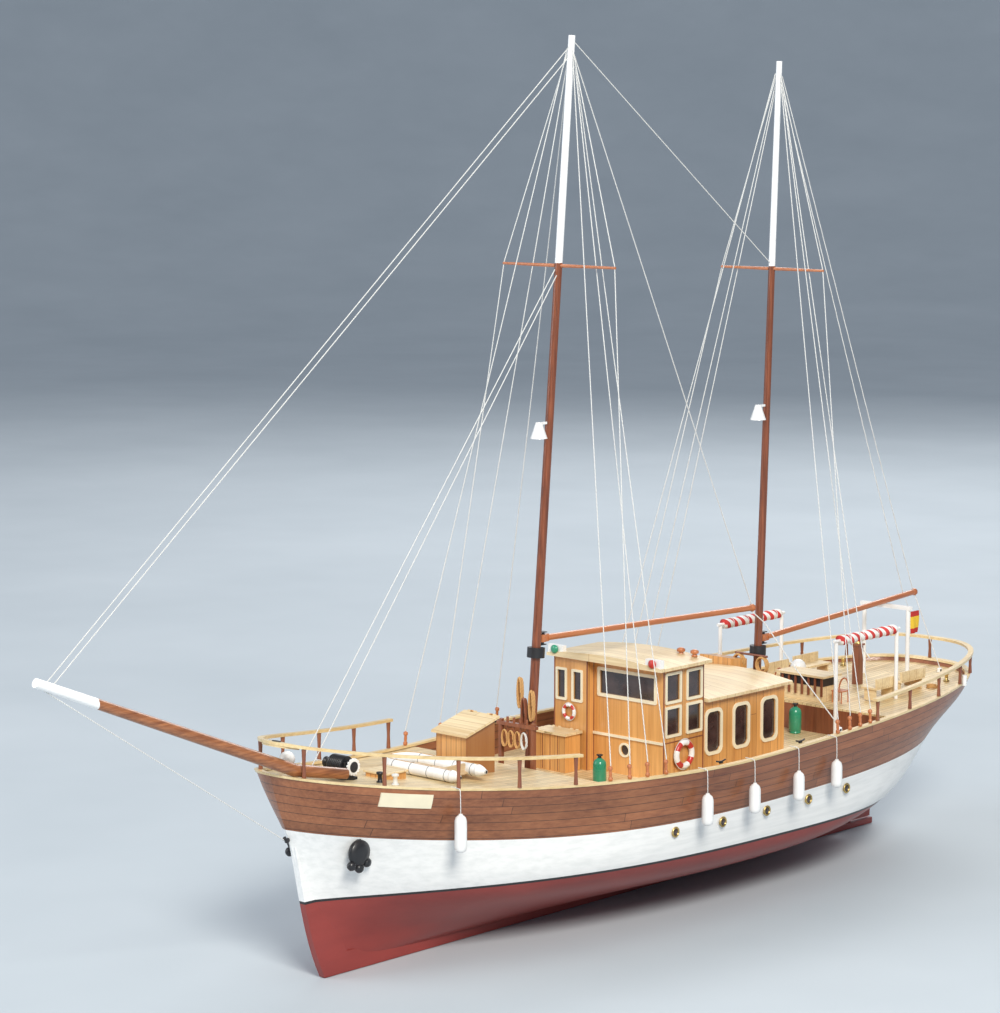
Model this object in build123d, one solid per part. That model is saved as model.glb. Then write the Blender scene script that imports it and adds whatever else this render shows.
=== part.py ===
from build123d import *
import math
import os

# Two-masted motor-sailer model, radio controlled, about 1:36.  Millimetres, bow towards -Y,
# port side at +X, +Z up.  The origin is the middle of the keel's flat underside.

# Hull
KEEL_END = 302.0            # the keel's flat underside runs from the forefoot to this y
KEEL_WIDTH = 5.0
SKIN = 2.4                  # thickness of the planked hull
SHEER_LOW_Y = -52.0         # where the deck edge is lowest
SHEER_LOW_Z = 111.4
SHEER_SPAN = 240.0          # the rises below are reached this far from the low point
BOW_RISE = 19.8
STERN_RISE = 2.7
BAND_DEPTH = 34.8           # bare wood planking below the deck edge
TALL = 200.0                # taller than any part of the hull

# Decks
MAIN_DECK = 90.0            # top of the main deck
DECK_THICK = 1.6
FORE_BREAK = -120.0         # aft edge of the foredeck
AFT_BREAK = 201.0           # fore edge of the aft deck
FOREDECK_DROP = 0.5         # foredeck below the sheer
AFT_DECK_DROP = 3.0

# Rails
CAP_THICK = 1.6
BOW_RAIL_RISE = 22.4
STERN_RAIL_RISE = 18.6
BOW_RAIL_END = -146.0
STERN_RAIL_END = 163.0
POST = 3.0

# Masts: y at the main deck, rake as dy/dz, top height and radii
FORE_MAST = {"foot": -101.1, "rake": 0.0846, "top": 610.0, "r0": 3.4, "r1": 2.4}
MIZZEN_MAST = {"foot": 153.3, "rake": 0.0416, "top": 595.0, "r0": 3.2, "r1": 2.2}
FORE_SPREADER_Z = 453.6
MIZZEN_SPREADER_Z = 442.5
FORE_SPREADER_HALF = 51.3
MIZZEN_SPREADER_HALF = 47.6
LINE_R = 0.35               # radius of the rigging lines

# Booms: gooseneck and outer end as (y, z)
MAIN_BOOM = {"near": (-82.0, 196.6), "far": (148.6, 190.0), "r": 2.2}
MIZZEN_BOOM = {"near": (166.5, 165.8), "far": (357.6, 178.0), "r": 2.2}

# Wheelhouse and cabin
HOUSE_HALF = 48.0
HOUSE_WALL = 2.0
WHEELHOUSE = {"front": -12.0, "back": 32.0, "top": 170.0}
CABIN = {"front": 32.0, "back": 126.6, "top": 141.0}
ROOF_OVERHANG = 5.6

# Running gear
PROP_Y = 254.0
PROP_Z = 19.8
SHAFT_SLOPE = 6.0           # degrees, rising forward
SHAFT_R = 2.0
TUBE_R = 3.0
RUNNING = 0.05              # radial clearance of turning parts
GAP = 0.35                  # between a lid or roof and what it rests on
RUDDER_Y = 274.8
STOCK_R = 2.0
SERVO_Y = 225.0
ARM = 15.0                  # length of the tiller arm and the servo horn
ARM_Z = 84.0

# Waterlines of the hull: height, bow y, stern y, half beam, y of the widest point,
# two fullness exponents for the fore body and two for the after body
WATERLINES = [
    (6.0, -299.0, 237.0, 7.0, 60.0, 1.6, 0.9, 1.6, 1.2),
    (9.6, -300.5, 238.0, 20.4, 72.0, 1.8, 0.8, 1.8, 1.3),
    (18.0, -303.5, 240.0, 49.2, 72.0, 2.0, 0.65, 2.2, 1.4),
    (30.0, -307.0, 246.0, 80.4, 72.0, 2.3, 0.65, 2.4, 1.5),
    (52.8, -315.0, 285.0, 97.8, 60.0, 2.8, 0.8, 3.0, 2.2),
    (84.0, -324.5, 336.0, 106.0, 12.0, 1.6, 1.3, 3.0, 2.0),
    (102.0, -331.0, 364.8, 110.0, -6.0, 1.3, 1.6, 2.6, 2.4),
    (120.0, -338.0, 381.6, 112.6, -21.0, 1.05, 1.95, 2.2, 2.8),
    (150.0, -348.0, 388.8, 114.0, -24.0, 1.0, 2.1, 2.15, 2.9),
]
# How far an offset surface moves up and inwards at each waterline, per millimetre of offset
OFFSET_UP = (1.0, 1.0, 1.0, 0.8, 0.4, 0.0, 0.0, 0.0, 0.0)
OFFSET_IN = (0.2, 0.3, 0.4, 0.6, 0.9, 1.0, 1.0, 1.0, 1.0)


# ---------------------------------------------------------------- basic shapes
def box(x0, x1, y0, y1, z0, z1):
    size = Box(x1 - x0, y1 - y0, z1 - z0)
    return Pos((x0 + x1) / 2, (y0 + y1) / 2, (z0 + z1) / 2) * size


def rod(a, b, r0, r1=None):
    """A round bar from a to b, tapered when r1 is given."""
    start, end = Vector(*a), Vector(*b)
    along = end - start
    place = Plane(origin=start, z_dir=along)
    foot = (Align.CENTER, Align.CENTER, Align.MIN)
    if r1 is None or r1 == r0:
        return place * Cylinder(r0, along.length, align=foot)
    return place * Cone(r0, r1, along.length, align=foot)


def ring_bar(a, b, r_out, r_in):
    return rod(a, b, r_out) - rod(a, b, r_in)


def side_face(points):
    """A face in the YZ plane from straight (y, z) corners."""
    return Plane.YZ * make_face(Polyline(*points, close=True))


def mirrored(shape):
    return mirror(shape, about=Plane.YZ)


def both_sides(shapes):
    return list(shapes) + [mirrored(shape) for shape in shapes]


def solids_of(shape):
    if isinstance(shape, (list, tuple)):
        found = []
        for item in shape:
            found += solids_of(item)
        return found
    return list(shape.solids())


def save(name, shape):
    solids = solids_of(shape)
    result = solids[0] if len(solids) == 1 else Compound(solids)
    export_step(result, f"parts/{name}.step")


# ---------------------------------------------------------------- hull form
def fullness(line, y):
    """Half breadth of one waterline at y."""
    _, bow, stern, half, wide, p, q, m, k = line
    if y <= bow or y >= stern:
        return 0.0
    if y < wide:
        s = (y - bow) / (wide - bow)
        return half * (1 - (1 - s) ** p) ** (1 / q)
    t = (y - wide) / (stern - wide)
    return half * (1 - t ** m) ** (1 / k)


def half_breadth(y, z):
    """Half breadth of the hull at y and z, straight between waterlines."""
    low = WATERLINES[0]
    for high in WATERLINES[1:]:
        if z <= high[0]:
            part = (z - low[0]) / (high[0] - low[0])
            return fullness(low, y) * (1 - part) + fullness(high, y) * part
        low = high
    return fullness(low, y)


def waterline_points(line):
    _, bow, stern, _, wide, *_ = line
    steps = 8
    fore = [bow + (wide - bow) * (i / steps) ** 1.7 for i in range(1, steps)]
    aft = [stern - (stern - wide) * (1 - i / steps) ** 2.2 for i in range(steps)]
    return [(fullness(line, y), y) for y in fore + aft]


def waterline_face(line):
    z, bow, stern = line[0], line[1], line[2]
    port = waterline_points(line)
    starboard = [(-x, y) for x, y in reversed(port)]
    loop = [(0, bow)] + port + [(0, stern)] + starboard + [(0, bow)]
    return Pos(0, 0, z) * make_face(Spline(*loop))


def hull_form(inset):
    """The solid inside the hull's outer surface moved inwards by inset."""
    faces = []
    for line, up, inward in zip(WATERLINES, OFFSET_UP, OFFSET_IN):
        z, bow, stern, half, *rest = line
        moved = (z + inset * up, bow + 1.5 * inset, stern - 1.2 * inset, half - inset * inward, *rest)
        faces.append(waterline_face(moved))
    return loft(faces)


def sheer_z(y):
    rise = BOW_RISE if y < SHEER_LOW_Y else STERN_RISE
    return SHEER_LOW_Z + rise * ((y - SHEER_LOW_Y) / SHEER_SPAN) ** 2


def sheer_slab(low, high, y0=-420.0, y1=420.0):
    """Everything between the sheer moved by low and by high, from y0 to y1."""
    steps = 12
    ys = [y0 + (y1 - y0) * i / steps for i in range(steps + 1)]
    bottom = Spline(*[(y, sheer_z(y) + low) for y in ys])
    top = Spline(*[(y, sheer_z(y) + high) for y in reversed(ys)])
    ends = [Line(bottom @ 1, top @ 0), Line(top @ 1, bottom @ 0)]
    face = Plane.YZ * make_face([bottom, ends[0], top, ends[1]])
    return extrude(face, 140, both=True)


def shaft_point(y):
    """The propeller shaft's axis at y."""
    return (0, y, PROP_Z + (PROP_Y - y) * math.tan(math.radians(SHAFT_SLOPE)))


def mast_point(mast, z):
    return (0, mast["foot"] + mast["rake"] * (z - MAIN_DECK), z)


def mast_radius(mast, z):
    part = (z - MAIN_DECK) / (mast["top"] - MAIN_DECK)
    return mast["r0"] + (mast["r1"] - mast["r0"]) * part


# ---------------------------------------------------------------- hull and decks
PORTHOLE_YS = (-58.0, -12.0, 36.0, 85.0, 133.0)
PORTHOLE_Z = 70.0
PORTHOLE_R = 2.8


def porthole_plugs():
    plugs = []
    for y in PORTHOLE_YS:
        x = half_breadth(y, PORTHOLE_Z)
        plugs.append(rod((x - 3.5, y, PORTHOLE_Z), (x + 0.9, y, PORTHOLE_Z), PORTHOLE_R))
    return both_sides(plugs)


def hull_parts(outer, inner):
    skin = outer - inner
    skin = skin - rod(shaft_point(262), shaft_point(110), TUBE_R)
    skin = skin - rod((0, RUDDER_Y, 40), (0, RUDDER_Y, 80), TUBE_R)
    lower = skin - sheer_slab(-BAND_DEPTH, TALL)
    for plug in porthole_plugs():
        lower = lower - plug
    band = skin & sheer_slab(-BAND_DEPTH, 0)
    return lower, band


def keel(outer):
    stem = Spline((-300, 0), (-317.5, 53), (-328.4, 101.6), (-345, 143))
    heel = Polyline((-345, 143), (-330, 143), (-300, 60), (-280, 14), (228, 14), (236, 60),
                    (250, 60), (245, 30), (244, 8), (252, 4.5), (KEEL_END, 4.5), (KEEL_END, 0), (-300, 0))
    body = extrude(Plane.YZ * make_face([stem, heel]), KEEL_WIDTH / 2, both=True)
    body = body - outer - sheer_slab(0, TALL)
    body = body - rod(shaft_point(262), shaft_point(110), TUBE_R)
    body = body - rod((0, RUDDER_Y, 1.5), (0, RUDDER_Y, 10), 1.2 + RUNNING)
    for y in (-150, 150):
        body = body - rod((0, y, -1), (0, y, 5), 1.6)
    return body


def decks(inner):
    fore = inner & sheer_slab(-FOREDECK_DROP - DECK_THICK, -FOREDECK_DROP, -420, FORE_BREAK)
    aft = inner & sheer_slab(-AFT_DECK_DROP - DECK_THICK, -AFT_DECK_DROP, AFT_BREAK, 420)
    main = inner & box(-140, 140, FORE_BREAK, AFT_BREAK, MAIN_DECK - DECK_THICK, MAIN_DECK)
    main = main - box(-38, 38, 42, 118, MAIN_DECK - 5, MAIN_DECK + 5)
    return fore, main, aft


def bulkheads(inner):
    fore = inner & box(-140, 140, FORE_BREAK - 1.6, FORE_BREAK, MAIN_DECK, TALL)
    fore = fore - sheer_slab(-FOREDECK_DROP - DECK_THICK, TALL)
    aft = inner & box(-140, 140, AFT_BREAK, AFT_BREAK + 1.6, MAIN_DECK, TALL)
    aft = aft - sheer_slab(-AFT_DECK_DROP - DECK_THICK, TALL)
    return [fore, aft]


def bulwark_cap(wide_form):
    return (wide_form & sheer_slab(0, CAP_THICK)) - hull_form(3.4)


def name_boards(wide_form, outer):
    boards = []
    for side in (-1, 1):
        reach = sorted((side * 30, side * 130))
        block = box(*reach, -291, -256, 100, 140) & wide_form
        boards.append((block - outer) & sheer_slab(-12.5, -3.0))
    return boards


# ---------------------------------------------------------------- rails
RAIL_LINE = (0, -344.0, 384.0, 112.6, -24.0, 1.0, 2.08, 2.13, 2.9)


def rail_ring(outset, inset):
    _, bow, stern, half, *rest = RAIL_LINE
    big = waterline_face((0, bow - outset, stern + outset, half + outset, *rest))
    small = waterline_face((0, bow + inset, stern - inset, half - inset, *rest))
    return extrude(big, 200) - extrude(small, 200)


def rail_caps():
    ring = rail_ring(1.2, 3.2)
    bow = ring & sheer_slab(BOW_RAIL_RISE - 2, BOW_RAIL_RISE, -420, BOW_RAIL_END)
    stern = ring & sheer_slab(STERN_RAIL_RISE - 2, STERN_RAIL_RISE, STERN_RAIL_END, 420)
    return [bow, stern]


def rail_post(x, y, rise):
    foot = sheer_z(y) + CAP_THICK + 0.25
    top = sheer_z(y) + rise - 2.25
    middle = (foot + top) / 2
    lower = rod((x, y, foot), (x, y, middle), POST / 2, POST / 2 - 0.4)
    upper = rod((x, y, middle), (x, y, top), POST / 2 - 0.4, POST / 2)
    return lower + upper


def rail_posts():
    bow_ys = (-334.0, -289.0, -239.0, -194.0, -150.0)
    stern_ys = (167.0, 216.0, 266.0, 312.0, 350.0)
    posts = [rail_post(fullness(RAIL_LINE, y) - 1.2, y, BOW_RAIL_RISE) for y in bow_ys]
    posts += [rail_post(fullness(RAIL_LINE, y) - 1.2, y, STERN_RAIL_RISE) for y in stern_ys]
    centre = rail_post(0, 381.0, STERN_RAIL_RISE)
    return both_sides(posts) + [centre]


# ---------------------------------------------------------------- spars
BOWSPRIT_TIP = (0, -531.6, 226.2)
BOWSPRIT_STEM = (13.0, -335.0, 144.6)
BOWSPRIT_HEEL = (17.0, -294.0, 136.5)


def bowsprit():
    outer = rod(BOWSPRIT_TIP, BOWSPRIT_STEM, 3.0, 4.2)
    inner = rod(BOWSPRIT_STEM, BOWSPRIT_HEEL, 4.2, 3.6)
    knee = Pos(*BOWSPRIT_STEM) * Sphere(4.2)
    cut = sheer_slab(-60, CAP_THICK + 0.02, -360, FORE_BREAK)
    return (outer + inner + knee) - cut


def mast(data):
    return rod(mast_point(data, MAIN_DECK), mast_point(data, data["top"]), data["r0"], data["r1"])


def spreaders():
    bars = []
    pairs = ((FORE_MAST, FORE_SPREADER_Z, FORE_SPREADER_HALF),
             (MIZZEN_MAST, MIZZEN_SPREADER_Z, MIZZEN_SPREADER_HALF))
    for data, z, half in pairs:
        _, y, _ = mast_point(data, z)
        root = mast_radius(data, z)
        bars.append(rod((root, y, z), (half, y, z), 1.3, 0.9))
    return both_sides(bars)


def mast_collar(data, z, height, radius):
    low, high = mast_point(data, z), mast_point(data, z + height)
    hole = mast_radius(data, z) + 0.02
    return ring_bar(low, high, radius, hole)


COLLARS = ((FORE_MAST, 184.0), (MIZZEN_MAST, 153.5))
GOOSENECK_R = 1.0


def mast_collars():
    return [mast_collar(data, z, 7.0, 6.2) for data, z in COLLARS]


def gooseneck_pin(data, z):
    """The swing pin that stands on the after side of a mast, along the mast."""
    x, y, _ = mast_point(data, z)
    back = y + mast_radius(data, z) + 3.2
    lean = data["rake"]
    return (x, back - 4 * lean, z - 4), (x, back + 4 * lean, z + 4)


def goosenecks():
    fittings = []
    for data, boom in ((FORE_MAST, MAIN_BOOM), (MIZZEN_MAST, MIZZEN_BOOM)):
        z = boom["near"][1]
        low, high = gooseneck_pin(data, z)
        fittings.append(rod(low, high, GOOSENECK_R))
        surface = mast_radius(data, z)
        for dz in (-4.6, 4.0):
            _, y, _ = mast_point(data, z + dz)
            plate = box(-2, 2, y + surface - 0.2, y + surface + 5.2, z + dz, z + dz + 0.6)
            fittings[-1] = fittings[-1] + plate
    return fittings


def boom(data, mast_data):
    (y0, z0), (y1, z1) = data["near"], data["far"]
    low, high = gooseneck_pin(mast_data, z0)
    eye_y = (low[1] + high[1]) / 2
    spar = rod((0, y0, z0), (0, y1, z1), data["r"])
    tongue = box(-1.4, 1.4, eye_y, y0 + 1.5, z0 - 2.6, z0 + 2.6)
    eye = rod((0, eye_y, z0 - 2.6), (0, eye_y, z0 + 2.6), 2.2)
    hole = rod(low, high, GOOSENECK_R + RUNNING)
    tip = Pos(0, y1, z1) * Sphere(data["r"] + 0.7)
    return (spar + tongue + eye + tip) - hole


def boom_z(data, y):
    (y0, z0), (y1, z1) = data["near"], data["far"]
    return z0 + (z1 - z0) * (y - y0) / (y1 - y0)


def boom_gallows():
    y = 320.0
    top = boom_z(MIZZEN_BOOM, y) - MIZZEN_BOOM["r"] - 0.5
    bar = box(-24, 24, y - 1.6, y + 1.6, top - 3, top)
    deck = sheer_z(y) - AFT_DECK_DROP
    posts = [rod((x, y, deck), (x, y, top - 3), 1.7) for x in (-21, 21)]
    return [bar] + posts


# ---------------------------------------------------------------- rigging
FORE_CHAINS = {"port": (-120.0, -104.0, -89.0, -73.0), "starboard": (-131.0, -86.0, -66.0, -14.0)}
MIZZEN_CHAINS = {"port": (113.0, 129.0, 143.0, 157.0), "starboard": (113.0, 129.0, 143.0, 157.0)}
SCREW_TOP = 12.0            # height of the rigging screws above the cap


def chain_point(y, lift):
    x = half_breadth(y, sheer_z(y)) - 1.2
    return (x, y, sheer_z(y) + lift)


def shroud_set(data, spreader_z, half, chains):
    """The shrouds of one mast: on each side the second one bends over the spreader's end."""
    port = shroud_side(data, spreader_z, half, chains["port"])
    starboard = shroud_side(data, spreader_z, half, chains["starboard"])
    return port + [mirrored(line) for line in starboard]


def shroud_side(data, spreader_z, half, chain_ys):
    lines = []
    head_z = data["top"] - 9
    reach = mast_radius(data, head_z)
    _, tip_y, _ = mast_point(data, spreader_z)
    for i, y in enumerate(chain_ys):
        _, head_y, _ = mast_point(data, head_z - 2 * i)
        points = [(reach, head_y + 0.9 * (i - 1.5), head_z - 2 * i), chain_point(y, SCREW_TOP)]
        if i == 1:
            points.insert(1, (half - 0.6, tip_y, spreader_z + 1.0))
        lines.append(tube_along(Polyline(*points), LINE_R))
    return lines


def tube_along(path, radius):
    """A line drawn over straight runs: a bar on each run and a ball at each bend."""
    runs = path.edges()
    body = rod(runs[0] @ 0, runs[0] @ 1, radius)
    for run in runs[1:]:
        body = body + Pos(*(run @ 0)) * Sphere(radius) + rod(run @ 0, run @ 1, radius)
    return body


def fore_rigging():
    lines = shroud_set(FORE_MAST, FORE_SPREADER_Z, FORE_SPREADER_HALF, FORE_CHAINS)
    front = -mast_radius(FORE_MAST, 600)
    for z, reach in ((602.0, 9.0), (595.0, 14.0)):
        head = mast_point(FORE_MAST, z)
        tip = (0, BOWSPRIT_TIP[1] + reach, BOWSPRIT_TIP[2] - 0.415 * reach + 3.3)
        lines.append(rod((0, head[1] + front, z), tip, LINE_R))
    for x, z, foot_y in ((-1.5, 451.0, -322.0), (1.5, 447.0, -314.0)):
        head = mast_point(FORE_MAST, z)
        foot = (x, foot_y, sheer_z(foot_y) + 0.5)
        lines.append(rod((x * 0.6, head[1] - mast_radius(FORE_MAST, z) + 0.2, z), foot, LINE_R))
    return lines


def mizzen_rigging():
    lines = shroud_set(MIZZEN_MAST, MIZZEN_SPREADER_Z, MIZZEN_SPREADER_HALF, MIZZEN_CHAINS)
    fore_head = mast_point(FORE_MAST, 606)
    after_head = mast_point(MIZZEN_MAST, 447)
    start = (0, fore_head[1] + mast_radius(FORE_MAST, 606) - 0.2, 606)
    end = (0, after_head[1] - mast_radius(MIZZEN_MAST, 447) + 0.2, 447)
    lines.append(rod(start, end, LINE_R))
    return lines


BOBSTAY_FOOT = (0, -330.4, 96.0)


def bobstay():
    high = (0, BOWSPRIT_TIP[1] + 6, BOWSPRIT_TIP[2] - 5.4)
    return [rod(high, (BOBSTAY_FOOT[0], BOBSTAY_FOOT[1] - 2.5, BOBSTAY_FOOT[2] + 1), LINE_R)]


def rigging_screws():
    def screws(side):
        return [rod(chain_point(y, CAP_THICK), chain_point(y, SCREW_TOP), 0.9)
                for y in FORE_CHAINS[side] + MIZZEN_CHAINS[side]]
    fitting = rod(BOBSTAY_FOOT, (0, BOBSTAY_FOOT[1] - 3.2, BOBSTAY_FOOT[2] + 2.5), 1.5)
    return screws("port") + [mirrored(screw) for screw in screws("starboard")] + [fitting]


def main_topping_lift():
    head = mast_point(FORE_MAST, 598)
    start = (0, head[1] + mast_radius(FORE_MAST, 598) + 0.4, 598)
    y1, z1 = MAIN_BOOM["far"]
    return rod(start, (0, y1 - 1, z1 + 2.6), LINE_R)


def mizzen_topping_lift():
    head = mast_point(MIZZEN_MAST, 584)
    start_y = head[1] + mast_radius(MIZZEN_MAST, 584) + 0.4
    y1, z1 = MIZZEN_BOOM["far"]
    lines = []
    for x, back in ((-1.2, 14.0), (1.2, 3.0)):
        end_y = y1 - back
        lines.append(rod((x, start_y, 584), (x * 0.8, end_y, boom_z(MIZZEN_BOOM, end_y) + 1.9), LINE_R))
    return lines


MAIN_SHEET_FOOT = (105.5, 117.0, 118.5)
MIZZEN_SHEET_FOOT = (27.0, 356.0, 120.5)


def boom_sheets():
    main_y, main_z = MAIN_BOOM["far"]
    mizzen_y, mizzen_z = MIZZEN_BOOM["far"]
    main_bend = (14.0, main_y + 0.5, 178.0)
    main = tube_along(Polyline((0, main_y - 2.5, main_z - 2.9), main_bend, MAIN_SHEET_FOOT), LINE_R)
    mizzen = rod((0.4, mizzen_y + 1.2, mizzen_z - 2.9), MIZZEN_SHEET_FOOT, LINE_R)
    return [main, mizzen]


def deck_blocks():
    blocks = []
    for x, y, z in (MAIN_SHEET_FOOT, MIZZEN_SHEET_FOOT):
        foot = sheer_z(y) - AFT_DECK_DROP if y > AFT_BREAK else sheer_z(y) + CAP_THICK
        blocks.append(box(x - 1.2, x + 1.2, y - 2.2, y + 2.2, foot, z - 0.4))
    return blocks


# ---------------------------------------------------------------- houses
def rounded_plate(width, height, corner, thick):
    sketch = RectangleRounded(width, height, corner) if corner > 0 else Rectangle(width, height)
    return extrude(sketch, thick)


SIDE_PLANE = Plane(origin=(0, 0, 0), x_dir=(0, 1, 0), z_dir=(1, 0, 0))
FRONT_PLANE = Plane(origin=(0, 0, 0), x_dir=(1, 0, 0), z_dir=(0, -1, 0))


def window(plane, distance, u, z, width, height, corner, border=2.0):
    """A wall cutter, a frame and a pane, on a wall whose outer face is at distance."""
    on_wall = plane * Pos(u, z, distance)
    deep = on_wall * Pos(0, 0, -4) * rounded_plate(width, height, corner, 8)
    outside = rounded_plate(width + 2 * border, height + 2 * border, corner + border * 0.6, 0.9)
    inside = rounded_plate(width, height, corner, 0.9)
    frame = on_wall * (outside - inside)
    pane = on_wall * Pos(0, 0, -1.6) * rounded_plate(width, height, corner, 0.8)
    return deep, frame, pane


def house_windows():
    """Cutters, frames and panes of both houses, with the side windows on both sides."""
    wheel, cabin = [], []
    for y in (-1.9, 21.4):
        for z, height in ((156.2, 18.4), (132.0, 18.4)):
            wheel.append(window(SIDE_PLANE, HOUSE_HALF, y, z, 14.0, height, 0))
    for y in (43.6, 75.4, 108.2):
        cabin.append(window(SIDE_PLANE, HOUSE_HALF, y, 118.2, 15.2, 29.0, 4.0, 2.4))
    for group in (wheel, cabin):
        group += [tuple(mirrored(piece) for piece in item) for item in list(group)]
    front = -WHEELHOUSE["front"]
    wheel.append(window(FRONT_PLANE, front, 14.4, 154.8, 50.5, 16.4, 0, 2.4))
    wheel.append(window(FRONT_PLANE, front, 12.6, 108.0, 7.4, 7.4, 3.65, 1.4))
    bay = front + BAY["depth"]
    for x in (-41.3, -26.2):
        wheel.append(window(FRONT_PLANE, bay, x, 150.5, 7.0, 20.0, 0, 1.8))
    return wheel, cabin


BAY = {"left": -48.0, "right": -17.0, "depth": 7.2}


def wheelhouse_walls(windows):
    front, back, top = WHEELHOUSE["front"], WHEELHOUSE["back"], WHEELHOUSE["top"]
    half, wall = HOUSE_HALF, HOUSE_WALL
    body = box(-half, half, front, back, MAIN_DECK, top)
    body = body + box(BAY["left"], BAY["right"], front - BAY["depth"], front, MAIN_DECK, top)
    body = body - box(-half + wall, half - wall, front + wall, back - wall, MAIN_DECK - 1, top + 1)
    body = body - box(BAY["left"] + wall, BAY["right"] - wall, front - BAY["depth"] + wall,
                      front + wall + 1, MAIN_DECK - 1, top + 1)
    body = body - box(-20, 20, back - wall - 1, back + 1, MAIN_DECK + 2, CABIN["top"] - 6)
    for cutter, _, _ in windows:
        body = body - cutter
    return body


def cabin_walls(windows):
    front, back, top = CABIN["front"], CABIN["back"], CABIN["top"]
    half, wall = HOUSE_HALF, HOUSE_WALL
    body = box(-half, half, front, back, MAIN_DECK, top)
    body = body - box(-half + wall, half - wall, front - 1, back - wall, MAIN_DECK - 1, top + 1)
    body = body - box(-40, -14, back - 5, back + 1, MAIN_DECK + 3, top - 8)
    for cutter, _, _ in windows:
        body = body - cutter
    return body


def cambered_roof(y0, y1, half, z, camber, thick):
    crown = ThreePointArc((-half, z + thick), (0, z + thick + camber), (half, z + thick))
    under = Polyline((half, z + thick), (half, z), (-half, z), (-half, z + thick))
    face = Plane.XZ * make_face([crown, under])
    return Pos(0, y1, 0) * extrude(face, y1 - y0)


def wheelhouse_roof():
    return cambered_roof(WHEELHOUSE["front"] - 10, WHEELHOUSE["back"] + 3, HOUSE_HALF + ROOF_OVERHANG,
                         WHEELHOUSE["top"], 3.6, 2.2)


def cabin_roof():
    """The cabin's top lifts off: a plate on the walls with a rim that drops inside them."""
    gap = 0.4
    y0, y1 = CABIN["front"] + gap, CABIN["back"] + 4
    plate = cambered_roof(y0, y1, HOUSE_HALF + ROOF_OVERHANG - 1, CABIN["top"] + GAP, 4.4, 2.2)
    inner = HOUSE_HALF - HOUSE_WALL - gap
    rim = box(-inner, inner, y0 + 1, CABIN["back"] - HOUSE_WALL - gap, CABIN["top"] - 4, CABIN["top"] + 1)
    rim = rim - box(-inner + 2, inner - 2, y0 + 3, CABIN["back"] - HOUSE_WALL - gap - 2,
                    CABIN["top"] - 5, CABIN["top"] + GAP)
    return plate + rim


def companion_hood():
    """The hood over the steps down from the deck, against the cabin's after wall."""
    back, lip, end = CABIN["back"], CABIN["back"] + 5, CABIN["back"] + 24
    outline = [(back, MAIN_DECK), (end, MAIN_DECK), (end, 150.5), (lip, 153), (lip, 140), (back, 140)]
    body = Pos(-21, 0, 0) * extrude(side_face(outline), 15, both=True)
    return body - box(-34, -8, back + 2, end + 1, MAIN_DECK + 1.6, 136) - box(-33, -9, lip + 2, end + 1, 139, 149)


def wheelhouse_ledge():
    front = WHEELHOUSE["front"]
    return box(BAY["right"] + 0.2, HOUSE_HALF, front - 1.2, front, 116.2, 118.0)


def lamps():
    items = []
    for data, z in ((FORE_MAST, 342.0), (MIZZEN_MAST, 337.0)):
        _, y, _ = mast_point(data, z)
        front = y - mast_radius(data, z)
        shade = rod((0, front - 7.5, z - 6), (0, front - 7.5, z + 5), 6.0, 2.2)
        arm = box(-0.9, 0.9, front - 7.5, front + 0.05, z + 3.4, z + 5.0)
        items.append(shade + arm)
    y = 315.0
    x = half_breadth(y, 122) + 2.6
    items += [rod((side * x, y, 118), (side * x, y, 126), 1.8) for side in (-1, 1)]
    roof_top = WHEELHOUSE["top"] + 2.2
    edge = HOUSE_HALF + ROOF_OVERHANG
    for side in (-1, 1):
        x = side * (edge - 8)
        board = box(x - 7, x + 7, WHEELHOUSE["front"] - 9.2, WHEELHOUSE["front"] - 5.4, roof_top, roof_top + 6)
        lens = rod((x, WHEELHOUSE["front"] - 9.2, roof_top + 3.4), (x, WHEELHOUSE["front"] - 11.2, roof_top + 3.4), 1.6)
        items.append(board + lens - wheelhouse_roof())
    return items


# ---------------------------------------------------------------- deck fittings
def foredeck_z(y):
    return sheer_z(y) - FOREDECK_DROP


COMPANION = {"half": 14.0, "front": -178.0, "back": -150.0, "low": 142.6, "high": 150.4}
LOCKER = {"left": -51.0, "right": -22.0, "front": -37.0, "back": -21.0, "top": 116.5}
KNUCKLE_R = 0.6
KNUCKLE_LENGTH = 2.4


def frame_knuckle(x, axis, wall):
    """The fixed half of a small hinge: a barrel held by a strap from the back wall."""
    y, z = axis
    barrel = rod((x, y, z), (x + KNUCKLE_LENGTH, y, z), KNUCKLE_R)
    strap = box(x, x + KNUCKLE_LENGTH, y - 0.3, y + 0.3, z - 4.6, z)
    foot = box(x, x + KNUCKLE_LENGTH, wall, y + 0.3, z - 5.2, z - 4.6)
    return barrel + strap + foot


def hinged_lid(lid, axis, frame_xs):
    """The lid with its barrels beside the fixed ones, and notches round those."""
    y, z = axis
    for x in frame_xs:
        lid = lid - box(x - 0.3, x + KNUCKLE_LENGTH + 0.3, y - 1.2, y + 1, z - 4, z + 1)
        for start in (x - 0.3 - KNUCKLE_LENGTH, x + KNUCKLE_LENGTH + 0.3):
            lid = lid + rod((start, y, z), (start + KNUCKLE_LENGTH, y, z), KNUCKLE_R)
    return lid


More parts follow.
